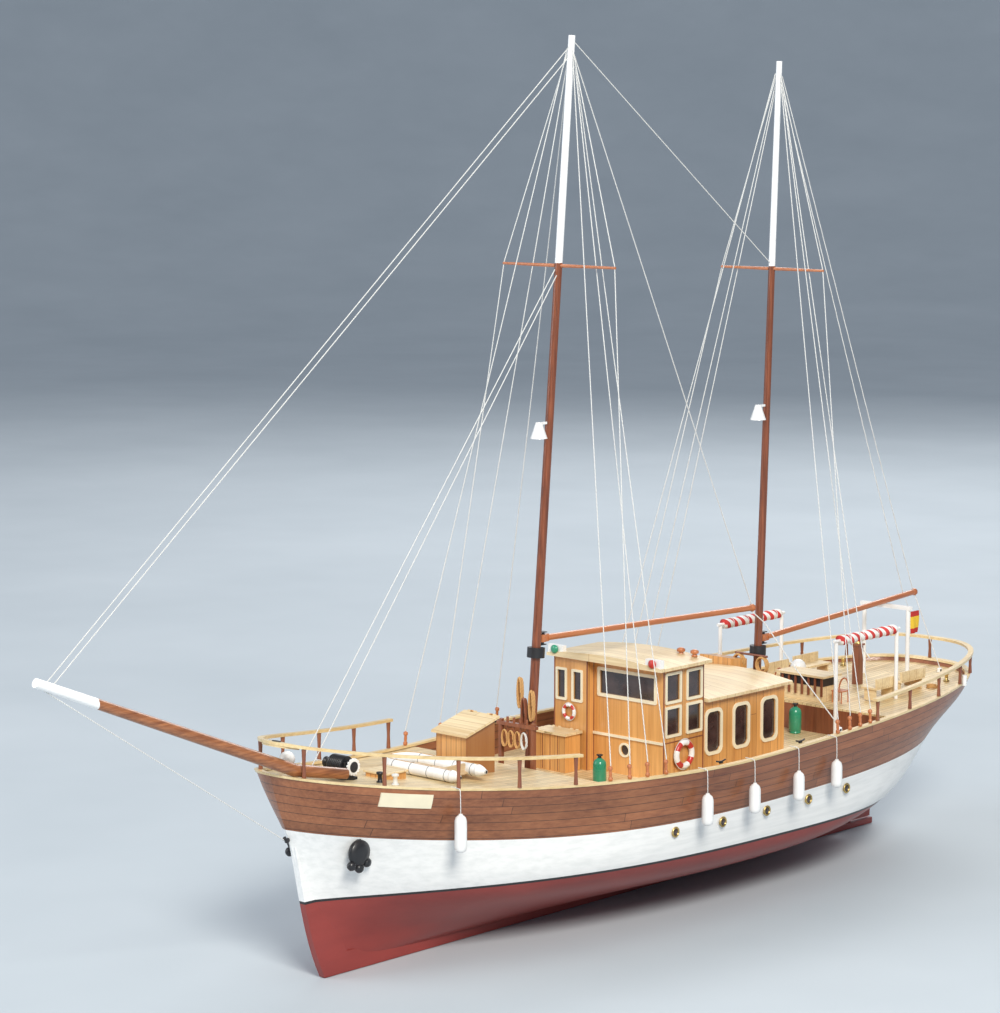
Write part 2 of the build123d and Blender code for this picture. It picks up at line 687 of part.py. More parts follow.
def companion_box():
    front, back, half = COMPANION["front"], COMPANION["back"], COMPANION["half"]
    side = side_face([(front, foredeck_z(front)), (back, foredeck_z(back)), (back, COMPANION["high"]),
                      (front, COMPANION["low"])])
    body = extrude(side, half, both=True)
    hollow = box(-half + 1.6, half - 1.6, front + 1.6, back - 1.6, foredeck_z(front) + 1.6, 180)
    body = body - hollow - sheer_slab(-20, -FOREDECK_DROP, -420, FORE_BREAK)
    for x in COMPANION_KNUCKLES:
        body = body + frame_knuckle(x, companion_axis(), back)
    return body


COMPANION_KNUCKLES = (-10.2, 7.8)
LID_SLOPE = (COMPANION["high"] - COMPANION["low"]) / (COMPANION["back"] - COMPANION["front"])


def companion_axis():
    return COMPANION["back"] + 2.4, COMPANION["high"] + 2.4 * LID_SLOPE + GAP + 1.6


def companion_lid():
    front, half = COMPANION["front"] - 2.4, COMPANION["half"] + 2.4
    back, top = companion_axis()
    low = COMPANION["low"] - 2.4 * LID_SLOPE + GAP
    face = side_face([(front, low), (back, top - 1.6), (back, top), (front, low + 1.6)])
    return hinged_lid(extrude(face, half, both=True), (back, top), COMPANION_KNUCKLES)


def deck_locker():
    left, right, front, back, top = (LOCKER[key] for key in ("left", "right", "front", "back", "top"))
    body = box(left, right, front, back, MAIN_DECK, top)
    body = body - box(left + 1.6, right - 1.6, front + 1.6, back - 1.6, MAIN_DECK + 1.6, top + 1)
    for x in LOCKER_KNUCKLES:
        body = body + frame_knuckle(x, locker_axis(), back)
    return body


LOCKER_KNUCKLES = (-46.2, -29.2)


def locker_axis():
    return LOCKER["back"] + 0.8, LOCKER["top"] + 2.15


def locker_lid():
    left, right, front, top = (LOCKER[key] for key in ("left", "right", "front", "top"))
    axis = locker_axis()
    plate = box(left - 1.6, right + 1.6, front - 1.6, axis[0], top + GAP, axis[1])
    return hinged_lid(plate, axis, LOCKER_KNUCKLES)


WINDLASS_Y = -282.6
WINDLASS_Z = 138.4


def windlass_frame():
    deck = foredeck_z(WINDLASS_Y) - 0.4
    bed = box(-9, 9, WINDLASS_Y - 7, WINDLASS_Y + 7, deck, deck + 1.8)
    bed = bed - sheer_slab(-20, -FOREDECK_DROP, -420, FORE_BREAK)
    cheeks = [box(x - 0.9, x + 0.9, WINDLASS_Y - 4, WINDLASS_Y + 4, deck + 1.8, WINDLASS_Z + 3.0) for x in (-8, 8)]
    frame = bed + cheeks[0] + cheeks[1]
    return frame - rod((-12, WINDLASS_Y, WINDLASS_Z), (12, WINDLASS_Y, WINDLASS_Z), 1.4 + RUNNING)


def windlass_drum():
    def span(x0, x1, r0, r1=None):
        return rod((x0, WINDLASS_Y, WINDLASS_Z), (x1, WINDLASS_Y, WINDLASS_Z), r0, r1)
    body = span(-13, 13, 1.4) + span(-6.6, 6.6, 5.6)
    for side in (-1, 1):
        body = body + span(side * 9.5, side * 11.2, 3.4, 2.2) + span(side * 11.2, side * 13, 2.2, 3.6)
    return body


def anchors():
    """A stockless anchor stowed against each bow: shank, crown and two flukes."""
    y, z, clear = -290.0, 84.0, 2.0

    def beside(y_at, z_at, extra=0.0):
        return (half_breadth(y_at, z_at) + clear + extra, y_at, z_at)
    body = rod(beside(y, z + 12), beside(y, z - 6, 0.6), 0.9)
    body = body + rod(beside(y - 5, z - 6, 1.0), beside(y + 5, z - 6, 1.0), 1.3)
    for dy in (-5, 5):
        body = body + rod(beside(y + dy, z - 6, 1.0), beside(y + 1.3 * dy, z + 3, 1.0), 1.4, 0.5)
    return both_sides([body])


def dinghy():
    """A small inflatable laid across the foredeck: two side tubes, a rounded bow and a floor."""
    r = 4.2
    z = foredeck_z(-213) + r + 0.3
    body = None
    for y in (-213.0, -188.0):
        tube = rod((-20, y, z), (34, y, z), r) + rod((34, y, z), (42, y, z), r, 1.0)
        body = tube if body is None else body + tube
    bow = Pos(-20, -200.5, z) * Torus(12.5, r)
    body = body + (bow & box(-60, -20, -260, -150, z - 20, z + 20))
    return body + box(-22, 30, -211, -190, z - 3.2, z - 1.8)


def aft_table():
    y0, y1 = 208.0, 231.0
    deck = sheer_z(y0) - AFT_DECK_DROP
    top = 132.0
    board = box(-23, 23, y0, y1, top - 1.6, top)
    cabinet = box(-20, 20, y0 + 3, y1 - 3, deck, top - 1.6)
    return [board, cabinet - sheer_slab(-20, -AFT_DECK_DROP, AFT_BREAK - 5, 420)]


def side_benches():
    """Slatted seats along both sides of the aft deck."""
    seats = []
    for y0, y1 in ((236.0, 262.0), (268.0, 300.0)):
        deck = sheer_z(y1) - AFT_DECK_DROP
        seat = box(38, 52, y0, y1, deck + 8.4, deck + 10)
        legs = box(40, 50, y0 + 1, y0 + 3, deck, deck + 8.4) + box(40, 50, y1 - 3, y1 - 1, deck, deck + 8.4)
        back = box(51, 52.4, y0, y1, deck + 10, deck + 17)
        seats.append(seat + legs + back)
    return both_sides(seats)


HELM = {"y": 290.0, "z": 140.4, "pedestal": 283.0, "r": 6.6}


def helm_pedestal():
    deck = sheer_z(HELM["pedestal"]) - AFT_DECK_DROP
    column = box(-3, 3, HELM["pedestal"] - 3, HELM["pedestal"] + 3, deck, HELM["z"] + 4)
    cap = box(-4, 4, HELM["pedestal"] - 4, HELM["pedestal"] + 4, HELM["z"] + 4, HELM["z"] + 5.4)
    bore = rod((0, HELM["pedestal"] - 1, HELM["z"]), (0, HELM["pedestal"] + 5, HELM["z"]), 0.9 + RUNNING)
    return (column + cap) - bore


def helm_wheel():
    y, z, r = HELM["y"], HELM["z"], HELM["r"]
    body = Pos(0, y, z) * Rot(90, 0, 0) * Torus(r, 0.9)
    body = body + rod((0, y - 1.4, z), (0, y + 1.4, z), 1.7)
    for i in range(4):
        a = math.radians(45 * i)
        dx, dz = (r + 3) * math.cos(a), (r + 3) * math.sin(a)
        body = body + rod((-dx, y, z - dz), (dx, y, z + dz), 0.55)
    return body + rod((0, HELM["pedestal"] - 0.6, z), (0, y, z), 0.9)


AWNING = {"x": 55.2, "front": 180.0, "back": 257.0, "z": 167.0}


def awning_posts():
    posts = []
    x, z = AWNING["x"], AWNING["z"]
    for y in (AWNING["front"], AWNING["back"]):
        foot = sheer_z(y) - AFT_DECK_DROP if y > AFT_BREAK else MAIN_DECK
        posts.append(rod((x, y, foot), (x, y, z - 1.2), 1.5))
    posts.append(rod((x, AWNING["front"] - 3, z), (x, AWNING["back"] + 3, z), 1.2))
    return both_sides(posts)


def awning_rolls():
    x, z = AWNING["x"], AWNING["z"]
    span = (AWNING["front"] + 4, AWNING["back"] - 4)
    roll = rod((x, span[0], z), (x, span[1], z), 4.0) - rod((x, span[0], z), (x, span[1], z), 1.3)
    return both_sides([roll])


FENDERS = ((-241.0, 24.0), (-42.6, 21.0), (4.8, 20.0), (55.8, 20.0), (102.6, 19.0))


def fenders():
    items = []
    for y, length in FENDERS:
        x = half_breadth(y, sheer_z(y)) + 0.8 + 4.4
        top = sheer_z(y) - 14.5
        body = rod((x, y, top - length), (x, y, top - 3.5), 4.0)
        body = body + rod((x, y, top - 3.5), (x, y, top), 4.0, 1.4)
        items.append(body + rod((x, y, top - length - 1.5), (x, y, top - length), 3.0, 4.0))
    return both_sides(items)


def fender_lanyards():
    lines = []
    for y, _ in FENDERS:
        x = half_breadth(y, sheer_z(y)) + 0.8 + 4.4
        hook = (x - 4.2, y, sheer_z(y) + CAP_THICK + 0.5)
        lines.append(tube_along(Polyline((x, y, sheer_z(y) - 14.5), (x, y, sheer_z(y) + 0.6), hook), 0.3))
    return both_sides(lines)


def life_rings():
    side = Plane(origin=(HOUSE_HALF + 2.7, 7.6, 107.5), z_dir=(1, 0, 0)) * Torus(8.4, 2.1)
    front = Pos(-33.0, WHEELHOUSE["front"] - BAY["depth"] - 1.6, 131.0) * Rot(90, 0, 0) * Torus(4.9, 1.2)
    return both_sides([side]) + [front]


def gas_bottles():
    items = []
    for x, y in ((24.0, -52.8), (10.5, 189.6)):
        r = 4.8
        body = rod((x, y, MAIN_DECK), (x, y, MAIN_DECK + 17), r)
        body = body + rod((x, y, MAIN_DECK + 17), (x, y, MAIN_DECK + 20), r, 2.0)
        items.append(body + rod((x, y, MAIN_DECK + 20), (x, y, MAIN_DECK + 23), 1.6))
    return items


def fife_rail():
    """A pin rail before the foremast: two posts, a bar and a row of belaying pins."""
    y = -112.0
    posts = [box(x - 1.4, x + 1.4, y - 1.4, y + 1.4, MAIN_DECK, 142) for x in (-15, 15)]
    bar = box(-18, 18, y - 1.8, y + 1.8, 138, 140.4) - posts[0] - posts[1]
    pins = [rod((x, y, 134), (x, y, 137.98), 0.6) + rod((x, y, 140.42), (x, y, 144), 0.9) for x in (-9, -3, 3, 9)]
    return posts + [bar] + pins


def flag():
    """A plain banded ensign on the mizzen sheet."""
    y1, z1 = MIZZEN_BOOM["far"]
    top_y, top_z = y1 + 1.0, z1 - 14.0
    return box(5.4, 6.0, top_y - 14.2, top_y - 1.8, top_z - 18.0, top_z)


# ---------------------------------------------------------------- running gear
def tubes():
    shaft = ring_bar(shaft_point(248.0), shaft_point(120.0), TUBE_R, SHAFT_R + RUNNING)
    stock = ring_bar((0, RUDDER_Y, 41.0), (0, RUDDER_Y, 80.0), TUBE_R, STOCK_R + RUNNING)
    return [shaft, stock]


def propeller_shaft():
    bar = rod(shaft_point(261.0), shaft_point(106.0), SHAFT_R)
    coupling = rod(shaft_point(112.0), shaft_point(98.0), 5.0)
    stub = rod(shaft_point(98.0), shaft_point(85.0), 1.6)
    return bar + coupling + stub


def propeller():
    x, y, z = shaft_point(PROP_Y)
    hub = rod(shaft_point(PROP_Y + 5), shaft_point(PROP_Y - 4.5), 3.6)
    blade_outline = make_face(Ellipse(4.6, 3.1).edges())
    blade = Pos(6.2, 0, -0.5) * Rot(32, 0, 0) * extrude(blade_outline, 1.0)
    body = None
    for i in range(3):
        turned = Pos(x, y, z) * Rot(SHAFT_SLOPE * -1, 0, 0) * Rot(90, 0, 0) * Rot(0, 0, 120 * i + 90) * blade
        body = turned if body is None else body + turned
    return (body + hub) - rod(shaft_point(270), shaft_point(240), SHAFT_R)


def motor():
    can = rod(shaft_point(92.0), shaft_point(45.0), 13.0)
    return can - rod(shaft_point(93.0), shaft_point(84.0), 1.6 + RUNNING)


def motor_mount():
    block = box(-14, 14, 54, 82, FLOOR_Z, 37)
    return block - rod(shaft_point(100.0), shaft_point(40.0), 13.0)


FLOOR_Z = 18.0


def gear_trays(inner):
    floor = inner & box(-140, 140, -130, 100, FLOOR_Z - 2, FLOOR_Z)
    shelf = inner & box(-140, 140, 190, 250, 76, 78)
    shelf = shelf - box(-10.3, 10.3, SERVO_Y - 30, SERVO_Y + 10.3, 70, 80)
    return [floor, shelf]


def servo():
    case = box(-10, 10, SERVO_Y - 29.5, SERVO_Y + 10, 46, 81)
    ears = box(-10, 10, SERVO_Y - 35, SERVO_Y + 16, 78, 79.6)
    boss = rod((0, SERVO_Y, 81), (0, SERVO_Y, 82.6), 4.0)
    return (case + ears + boss) - rod((0, SERVO_Y, 80), (0, SERVO_Y, 90), 1.8 + RUNNING)


def horn_arm(y):
    """A lever from an axle at (0, y) out to its pin hole at (ARM, y)."""
    body = box(0, ARM, y - 2.2, y + 2.2, ARM_Z, ARM_Z + 2.2)
    body = body + rod((0, y, ARM_Z), (0, y, ARM_Z + 2.2), 4.0) + rod((ARM, y, ARM_Z), (ARM, y, ARM_Z + 2.2), 2.2)
    return body - rod((ARM, y, ARM_Z - 1), (ARM, y, ARM_Z + 4), 0.8 + RUNNING)


def servo_horn():
    return horn_arm(SERVO_Y) + rod((0, SERVO_Y, 80.4), (0, SERVO_Y, ARM_Z), 1.8)


def tiller_arm():
    return horn_arm(RUDDER_Y) - rod((0, RUDDER_Y, ARM_Z - 2), (0, RUDDER_Y, ARM_Z + 4), STOCK_R)


def pushrod():
    z = ARM_Z + 3.6
    body = rod((ARM, SERVO_Y, z), (ARM, RUDDER_Y, z), 0.8)
    for y in (SERVO_Y, RUDDER_Y):
        body = body + rod((ARM, y, ARM_Z - 0.4), (ARM, y, z), 0.8)
    return body


def rudder():
    face = side_face([(271.5, 38.0), (271.5, 6.0), (299.5, 6.0), (301.0, 20.0), (297.0, 37.0)])
    blade = extrude(face, 1.6, both=True)
    stock = rod((0, RUDDER_Y, 6.0), (0, RUDDER_Y, ARM_Z + 2.2), STOCK_R)
    pintle = rod((0, RUDDER_Y, 1.9), (0, RUDDER_Y, 6.5), 1.2)
    return blade + stock + pintle


def battery():
    return box(-30, 30, -60, -24, FLOOR_Z, 44)


def receiver():
    return box(-28, -6, 5, 35, FLOOR_Z, 32)


def speed_controller():
    return box(8, 28, 5, 35, FLOOR_Z, 30)


# ---------------------------------------------------------------- assembly
def main():
    os.makedirs("parts", exist_ok=True)
    outer, inner, wide = hull_form(0), hull_form(SKIN), hull_form(-0.8)
    lower, band = hull_parts(outer, inner)
    foredeck, main_deck, aft_deck = decks(inner)
    wheel_windows, cabin_windows = house_windows()
    all_windows = wheel_windows + cabin_windows
    save("hull_shell", lower)
    save("topside_planking", band)
    save("keel_and_stem", keel(outer))
    save("raised_decks", [foredeck, aft_deck])
    save("main_deck", main_deck)
    save("deck_bulkheads", bulkheads(inner))
    save("bulwark_cap", bulwark_cap(wide))
    save("name_boards", name_boards(wide, outer))
    save("hull_portholes", porthole_plugs())
    save("rail_caps", rail_caps())
    save("rail_posts", rail_posts() + fife_rail())
    save("bowsprit", bowsprit())
    save("foremast", mast(FORE_MAST))
    save("mizzen_mast", mast(MIZZEN_MAST))
    save("spreaders", spreaders())
    save("mast_fittings", mast_collars() + goosenecks())
    save("main_boom", boom(MAIN_BOOM, FORE_MAST))
    save("mizzen_boom", boom(MIZZEN_BOOM, MIZZEN_MAST))
    save("standing_rigging", fore_rigging() + mizzen_rigging() + bobstay())
    save("rigging_fittings", rigging_screws() + deck_blocks())
    save("main_topping_lift", main_topping_lift())
    save("mizzen_topping_lift", mizzen_topping_lift())
    save("boom_sheets", boom_sheets())
    save("wheelhouse_walls", wheelhouse_walls(wheel_windows))
    save("wheelhouse_roof", wheelhouse_roof())
    save("cabin_walls", cabin_walls(cabin_windows))
    save("cabin_roof", cabin_roof())
    save("companion_hood", companion_hood())
    save("window_frames", [frame for _, frame, _ in all_windows] + [wheelhouse_ledge()])
    save("window_panes", [pane for _, _, pane in all_windows])
    save("lamps", lamps())
    save("companion_box", companion_box())
    save("companion_lid", companion_lid())
    save("deck_locker", deck_locker())
    save("locker_lid", locker_lid())
    save("windlass_frame", windlass_frame())
    save("windlass_drum", windlass_drum())
    save("anchors", anchors())
    save("dinghy", dinghy())
    save("aft_deck_furniture", aft_table() + side_benches())
    save("helm_pedestal", helm_pedestal())
    save("helm_wheel", helm_wheel())
    save("white_stanchions", awning_posts() + boom_gallows())
    save("awning_rolls", awning_rolls())
    save("fenders", fenders() + fender_lanyards())
    save("life_rings", life_rings())
    save("gas_bottles", gas_bottles())
    save("flag", flag())
    save("stern_tubes", tubes())
    save("propeller_shaft", propeller_shaft())
    save("propeller", propeller())
    save("motor", motor())
    save("gear_trays", gear_trays(inner) + [motor_mount()])
    save("rudder_servo", servo())
    save("servo_horn", servo_horn())
    save("tiller_arm", tiller_arm())
    save("pushrod", pushrod())
    save("rudder", rudder())
    save("battery", battery())
    save("receiver", [receiver(), speed_controller()])


main()
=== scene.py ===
import math

import bpy
from mathutils import Matrix, Vector


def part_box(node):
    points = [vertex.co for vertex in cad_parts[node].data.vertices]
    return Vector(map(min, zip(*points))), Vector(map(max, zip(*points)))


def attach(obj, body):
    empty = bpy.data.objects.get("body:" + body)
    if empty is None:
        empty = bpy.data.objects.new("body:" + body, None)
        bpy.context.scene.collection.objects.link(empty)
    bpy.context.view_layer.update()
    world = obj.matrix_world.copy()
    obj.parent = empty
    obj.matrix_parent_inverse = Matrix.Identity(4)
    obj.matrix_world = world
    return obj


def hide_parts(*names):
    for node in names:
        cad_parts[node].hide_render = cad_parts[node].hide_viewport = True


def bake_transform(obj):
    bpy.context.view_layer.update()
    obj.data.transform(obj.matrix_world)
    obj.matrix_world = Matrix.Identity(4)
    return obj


# Looks of the two-masted model boat.  Metres, bow towards -Y, port side at +X, +Z up.

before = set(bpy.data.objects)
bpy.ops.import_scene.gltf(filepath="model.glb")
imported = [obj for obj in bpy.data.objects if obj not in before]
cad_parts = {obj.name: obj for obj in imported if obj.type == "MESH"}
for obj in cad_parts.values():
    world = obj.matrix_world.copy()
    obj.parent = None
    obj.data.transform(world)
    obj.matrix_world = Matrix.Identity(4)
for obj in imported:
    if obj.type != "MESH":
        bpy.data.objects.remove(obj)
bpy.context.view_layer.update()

SHEER_LOW_Y = -0.052        # where the deck edge is lowest
SHEER_LOW_Z = 0.1114
BOW_RISE = 0.0198           # how far the deck edge climbs in each 0.24 m
STERN_RISE = 0.0027
SHEER_SPAN = 0.24
FOREMAST_Y = -0.1011        # at the main deck
MIZZEN_Y = 0.1533
MAIN_DECK_Z = 0.090


def sheer(y):
    rise = BOW_RISE if y < SHEER_LOW_Y else STERN_RISE
    return SHEER_LOW_Z + rise * ((y - SHEER_LOW_Y) / SHEER_SPAN) ** 2


# ---------------------------------------------------------------- materials
class Shade:
    """A material under construction, with short ways to add and join nodes."""

    def __init__(self, name, roughness=0.5, metallic=0.0, coat=0.0):
        self.material = bpy.data.materials.new(name)
        self.material.use_nodes = True
        self.nodes = self.material.node_tree.nodes
        self.links = self.material.node_tree.links
        self.shader = self.nodes["Principled BSDF"]
        self.shader.inputs["Roughness"].default_value = roughness
        self.shader.inputs["Metallic"].default_value = metallic
        self.shader.inputs["Coat Weight"].default_value = coat
        self.shader.inputs["Coat Roughness"].default_value = 0.15

    def add(self, kind, inputs=(), output=0, **settings):
        """A new node; inputs are numbers, tuples or other nodes' outputs, in socket order."""
        node = self.nodes.new(kind)
        for key, value in settings.items():
            setattr(node, key, value)
        for index, value in enumerate(inputs):
            if value is None:
                continue
            if isinstance(value, bpy.types.NodeSocket):
                self.links.new(value, node.inputs[index])
            else:
                node.inputs[index].default_value = value
        return node.outputs[output]

    def math(self, operation, *values):
        return self.add("ShaderNodeMath", values, operation=operation)

    def position(self):
        return self.add("ShaderNodeTexCoord", output=3)

    def split(self, vector):
        node = self.nodes.new("ShaderNodeSeparateXYZ")
        self.links.new(vector, node.inputs[0])
        return node.outputs

    def stretched(self, scale, vector=None):
        """The position multiplied by a scale for each axis."""
        return self.add("ShaderNodeVectorMath", (vector or self.position(), scale), operation="MULTIPLY")

    def noise(self, scale, detail=4.0, rough=0.6, vector=None):
        return self.add("ShaderNodeTexNoise", (self.stretched(scale, vector), None, 1.0, detail, rough))

    def ramp(self, factor, stops):
        node = self.nodes.new("ShaderNodeValToRGB")
        self.links.new(factor, node.inputs[0])
        ends = node.color_ramp.elements
        ends[0].position, ends[0].color = stops[0][0], (*stops[0][1], 1)
        ends[1].position, ends[1].color = stops[-1][0], (*stops[-1][1], 1)
        for place, colour in stops[1:-1]:
            ends.new(place).color = (*colour, 1)
        return node.outputs[0]

    def blend(self, factor, a, b, mode="MIX"):
        node = self.nodes.new("ShaderNodeMix")
        node.data_type = "RGBA"
        node.blend_type = mode
        for socket, value in ((0, factor), (6, a), (7, b)):
            if isinstance(value, bpy.types.NodeSocket):
                self.links.new(value, node.inputs[socket])
            else:
                node.inputs[socket].default_value = value if socket == 0 else (*value, 1)
        return node.outputs[2]

    def colour(self, value):
        self.links.new(value, self.shader.inputs["Base Color"])

    def rough(self, value):
        self.links.new(value, self.shader.inputs["Roughness"])

    def bump(self, height, distance, strength=0.6):
        node = self.nodes.new("ShaderNodeBump")
        node.inputs["Strength"].default_value = strength
        node.inputs["Distance"].default_value = distance
        self.links.new(height, node.inputs["Height"])
        self.links.new(node.outputs[0], self.shader.inputs["Normal"])

    def sheer_height(self):
        """Height above the deck edge, so planks can follow it."""
        _, y, z = self.split(self.position())
        along = self.math("DIVIDE", self.math("SUBTRACT", y, SHEER_LOW_Y), SHEER_SPAN)
        fore = self.math("LESS_THAN", y, SHEER_LOW_Y)
        rise = self.math("ADD", self.math("MULTIPLY", fore, BOW_RISE - STERN_RISE), STERN_RISE)
        curve = self.math("MULTIPLY", self.math("MULTIPLY", along, along), rise)
        return self.math("SUBTRACT", self.math("SUBTRACT", z, SHEER_LOW_Z), curve)

    def planks(self, across, along, width, length):
        """(seam mask, number between 0 and 1 for each plank) for planks laid side by side."""
        row = self.math("FLOOR", self.math("DIVIDE", across, width))
        shift = self.add("ShaderNodeTexWhiteNoise", (None, row), noise_dimensions="1D")
        side = self.math("PINGPONG", across, width / 2)
        seam = self.math("LESS_THAN", side, 0.00022)
        shifted = self.math("ADD", along, self.math("MULTIPLY", shift, length))
        butt = self.math("LESS_THAN", self.math("PINGPONG", shifted, length / 2), 0.00025)
        column = self.math("FLOOR", self.math("DIVIDE", shifted, length))
        number = self.math("ADD", self.math("MULTIPLY", row, 7.31), self.math("MULTIPLY", column, 3.7))
        tone = self.add("ShaderNodeTexWhiteNoise", (None, number), noise_dimensions="1D")
        return self.math("MAXIMUM", seam, butt), tone


def wood(name, dark, light, grain, roughness=0.38, coat=0.35, plank=None, seam_colour=(0.08, 0.04, 0.02),
         spread=0.25):
    """Varnished wood.  grain is the axis that the grain runs along; plank is (width, length, axis)."""
    shade = Shade(name, roughness, coat=coat)
    fine = [520.0, 520.0, 520.0]
    broad = [60.0, 60.0, 60.0]
    fine["XYZ".index(grain)] = 16.0
    broad["XYZ".index(grain)] = 5.0
    lines = shade.noise(fine, 6.0, 0.65)
    clouds = shade.noise(broad, 3.0, 0.5)
    figure = shade.math("ADD", shade.math("MULTIPLY", lines, 0.55), shade.math("MULTIPLY", clouds, 0.45))
    colour = shade.ramp(figure, [(0.32, dark), (0.66, light)])
    height = lines
    if plank:
        width, length, across = plank
        axes = shade.split(shade.position())
        along = axes["XYZ".index(grain)]
        side = shade.sheer_height() if across == "sheer" else axes["XYZ".index(across)]
        seam, tone = shade.planks(side, along, width, length)
        level = shade.math("ADD", shade.math("MULTIPLY", tone, spread), 1 - spread * 0.6)
        grey = shade.add("ShaderNodeCombineXYZ", (level, level, level))
        colour = shade.blend(1.0, colour, grey, "MULTIPLY")
        colour = shade.blend(shade.math("MULTIPLY", seam, 0.75), colour, seam_colour)
        height = shade.math("SUBTRACT", shade.math("MULTIPLY", lines, 0.35), seam)
    shade.colour(colour)
    shade.rough(shade.math("ADD", shade.math("MULTIPLY", clouds, 0.22), roughness - 0.1))
    shade.bump(height, 0.00012)
    return shade.material


def paint(name, colour, roughness=0.4, coat=0.2, wear=0.12, metallic=0.0):
    """Brushed enamel with slight streaks, clouding and dulled patches."""
    shade = Shade(name, roughness, metallic, coat)
    clouds = shade.noise((45.0, 45.0, 45.0), 5.0)
    specks = shade.noise((900.0, 900.0, 900.0), 2.0)
    darker = tuple(c * (1 - wear) for c in colour)
    shade.colour(shade.ramp(clouds, [(0.3, darker), (0.65, colour)]))
    shade.rough(shade.math("ADD", shade.math("MULTIPLY", clouds, 0.25), roughness - 0.12))
    shade.bump(specks, 0.00005, 0.5)
    return shade.material


def metal(name, colour, roughness=0.3, tarnish=0.45):
    shade = Shade(name, roughness, metallic=1.0)
    clouds = shade.noise((160.0, 160.0, 160.0), 5.0)
    fine = shade.noise((1500.0, 1500.0, 300.0), 3.0)
    dull = tuple(c * (1 - tarnish) for c in colour)
    shade.colour(shade.ramp(clouds, [(0.35, dull), (0.62, colour)]))
    shade.rough(shade.math("ADD", shade.math("MULTIPLY", clouds, 0.3), roughness - 0.1))
    shade.bump(fine, 0.00003, 0.5)
    return shade.material


def cordage(name, colour, dark=0.55):
    """Laid thread: short slanting strands."""
    shade = Shade(name, 0.75)
    x, y, z = shade.split(shade.position())
    level = shade.math("MULTIPLY", shade.math("ADD", x, y), 5200.0)
    slant = shade.math("ADD", shade.math("MULTIPLY", z, 2600.0), level)
    strand = shade.math("ADD", shade.math("MULTIPLY", shade.math("SINE", slant), 0.5), 0.5)
    fuzz = shade.noise((1800.0, 1800.0, 1800.0), 3.0)
    tone = shade.math("MULTIPLY", shade.math("ADD", strand, fuzz), 0.5)
    shade.colour(shade.ramp(tone, [(0.2, tuple(c * dark for c in colour)), (0.6, colour)]))
    shade.bump(strand, 0.0001)
    return shade.material


def hull_paint():
    """Bare mahogany over white topsides, a black boot line and red bottom paint."""
    shade = Shade("hull_enamel", 0.3, coat=0.4)
    _, y, z = shade.split(shade.position())
    line = shade.math("ADD", shade.math("MULTIPLY", y, 0.0133), z)
    waves = shade.noise((30.0, 8.0, 30.0), 5.0)
    streaks = shade.noise((260.0, 12.0, 260.0), 4.0)
    red = shade.ramp(waves, [(0.3, (0.21, 0.024, 0.020)), (0.7, (0.33, 0.044, 0.034))])
    white = shade.ramp(streaks, [(0.25, (0.80, 0.81, 0.80)), (0.6, (0.93, 0.93, 0.92))])
    above_red = shade.math("GREATER_THAN", line, 0.0478)
    above_black = shade.math("GREATER_THAN", line, 0.0496)
    colour = shade.blend(above_red, red, (0.012, 0.012, 0.014))
    colour = shade.blend(above_black, colour, white)
    brown = shade.ramp(streaks, [(0.3, BROWN_DARK), (0.7, BROWN_LIGHT)])
    bare = shade.math("GREATER_THAN", shade.sheer_height(), -0.0348)
    shade.colour(shade.blend(bare, colour, brown))
    gloss = shade.math("SUBTRACT", 0.5, shade.math("MULTIPLY", above_black, 0.22))
    shade.rough(shade.math("ADD", gloss, shade.math("MULTIPLY", waves, 0.12)))
    seam, _ = shade.planks(z, y, 0.0075, 0.4)
    height = shade.math("SUBTRACT", shade.math("MULTIPLY", streaks, 0.5), shade.math("MULTIPLY", seam, 0.6))
    shade.bump(height, 0.00008, 0.35)
    return shade.material


def mast_finish():
    """Mahogany below the spreaders and white enamel above them."""
    shade = Shade("mast_finish", 0.35, coat=0.4)
    _, y, z = shade.split(shade.position())
    grain = shade.noise((700.0, 700.0, 16.0), 6.0)
    brown = shade.ramp(grain, [(0.3, (0.11, 0.028, 0.012)), (0.68, (0.29, 0.085, 0.035))])
    white = shade.ramp(grain, [(0.2, (0.82, 0.83, 0.83)), (0.5, (0.95, 0.95, 0.95))])
    aft = shade.math("GREATER_THAN", y, 0.05)
    edge = shade.math("SUBTRACT", 0.4555, shade.math("MULTIPLY", aft, 0.0110))
    shade.colour(shade.blend(shade.math("GREATER_THAN", z, edge), brown, white))
    shade.bump(grain, 0.00005, 0.5)
    return shade.material


def sprit_finish():
    """Mahogany with a white outer end."""
    shade = Shade("sprit_finish", 0.36, coat=0.4)
    _, y, _ = shade.split(shade.position())
    grain = shade.noise((700.0, 16.0, 700.0), 6.0)
    brown = shade.ramp(grain, [(0.3, (0.19, 0.060, 0.022)), (0.68, (0.44, 0.17, 0.065))])
    white = shade.ramp(grain, [(0.2, (0.82, 0.83, 0.83)), (0.5, (0.95, 0.95, 0.95))])
    shade.colour(shade.blend(shade.math("LESS_THAN", y, -0.488), brown, white))
    shade.bump(grain, 0.00005, 0.5)
    return shade.material


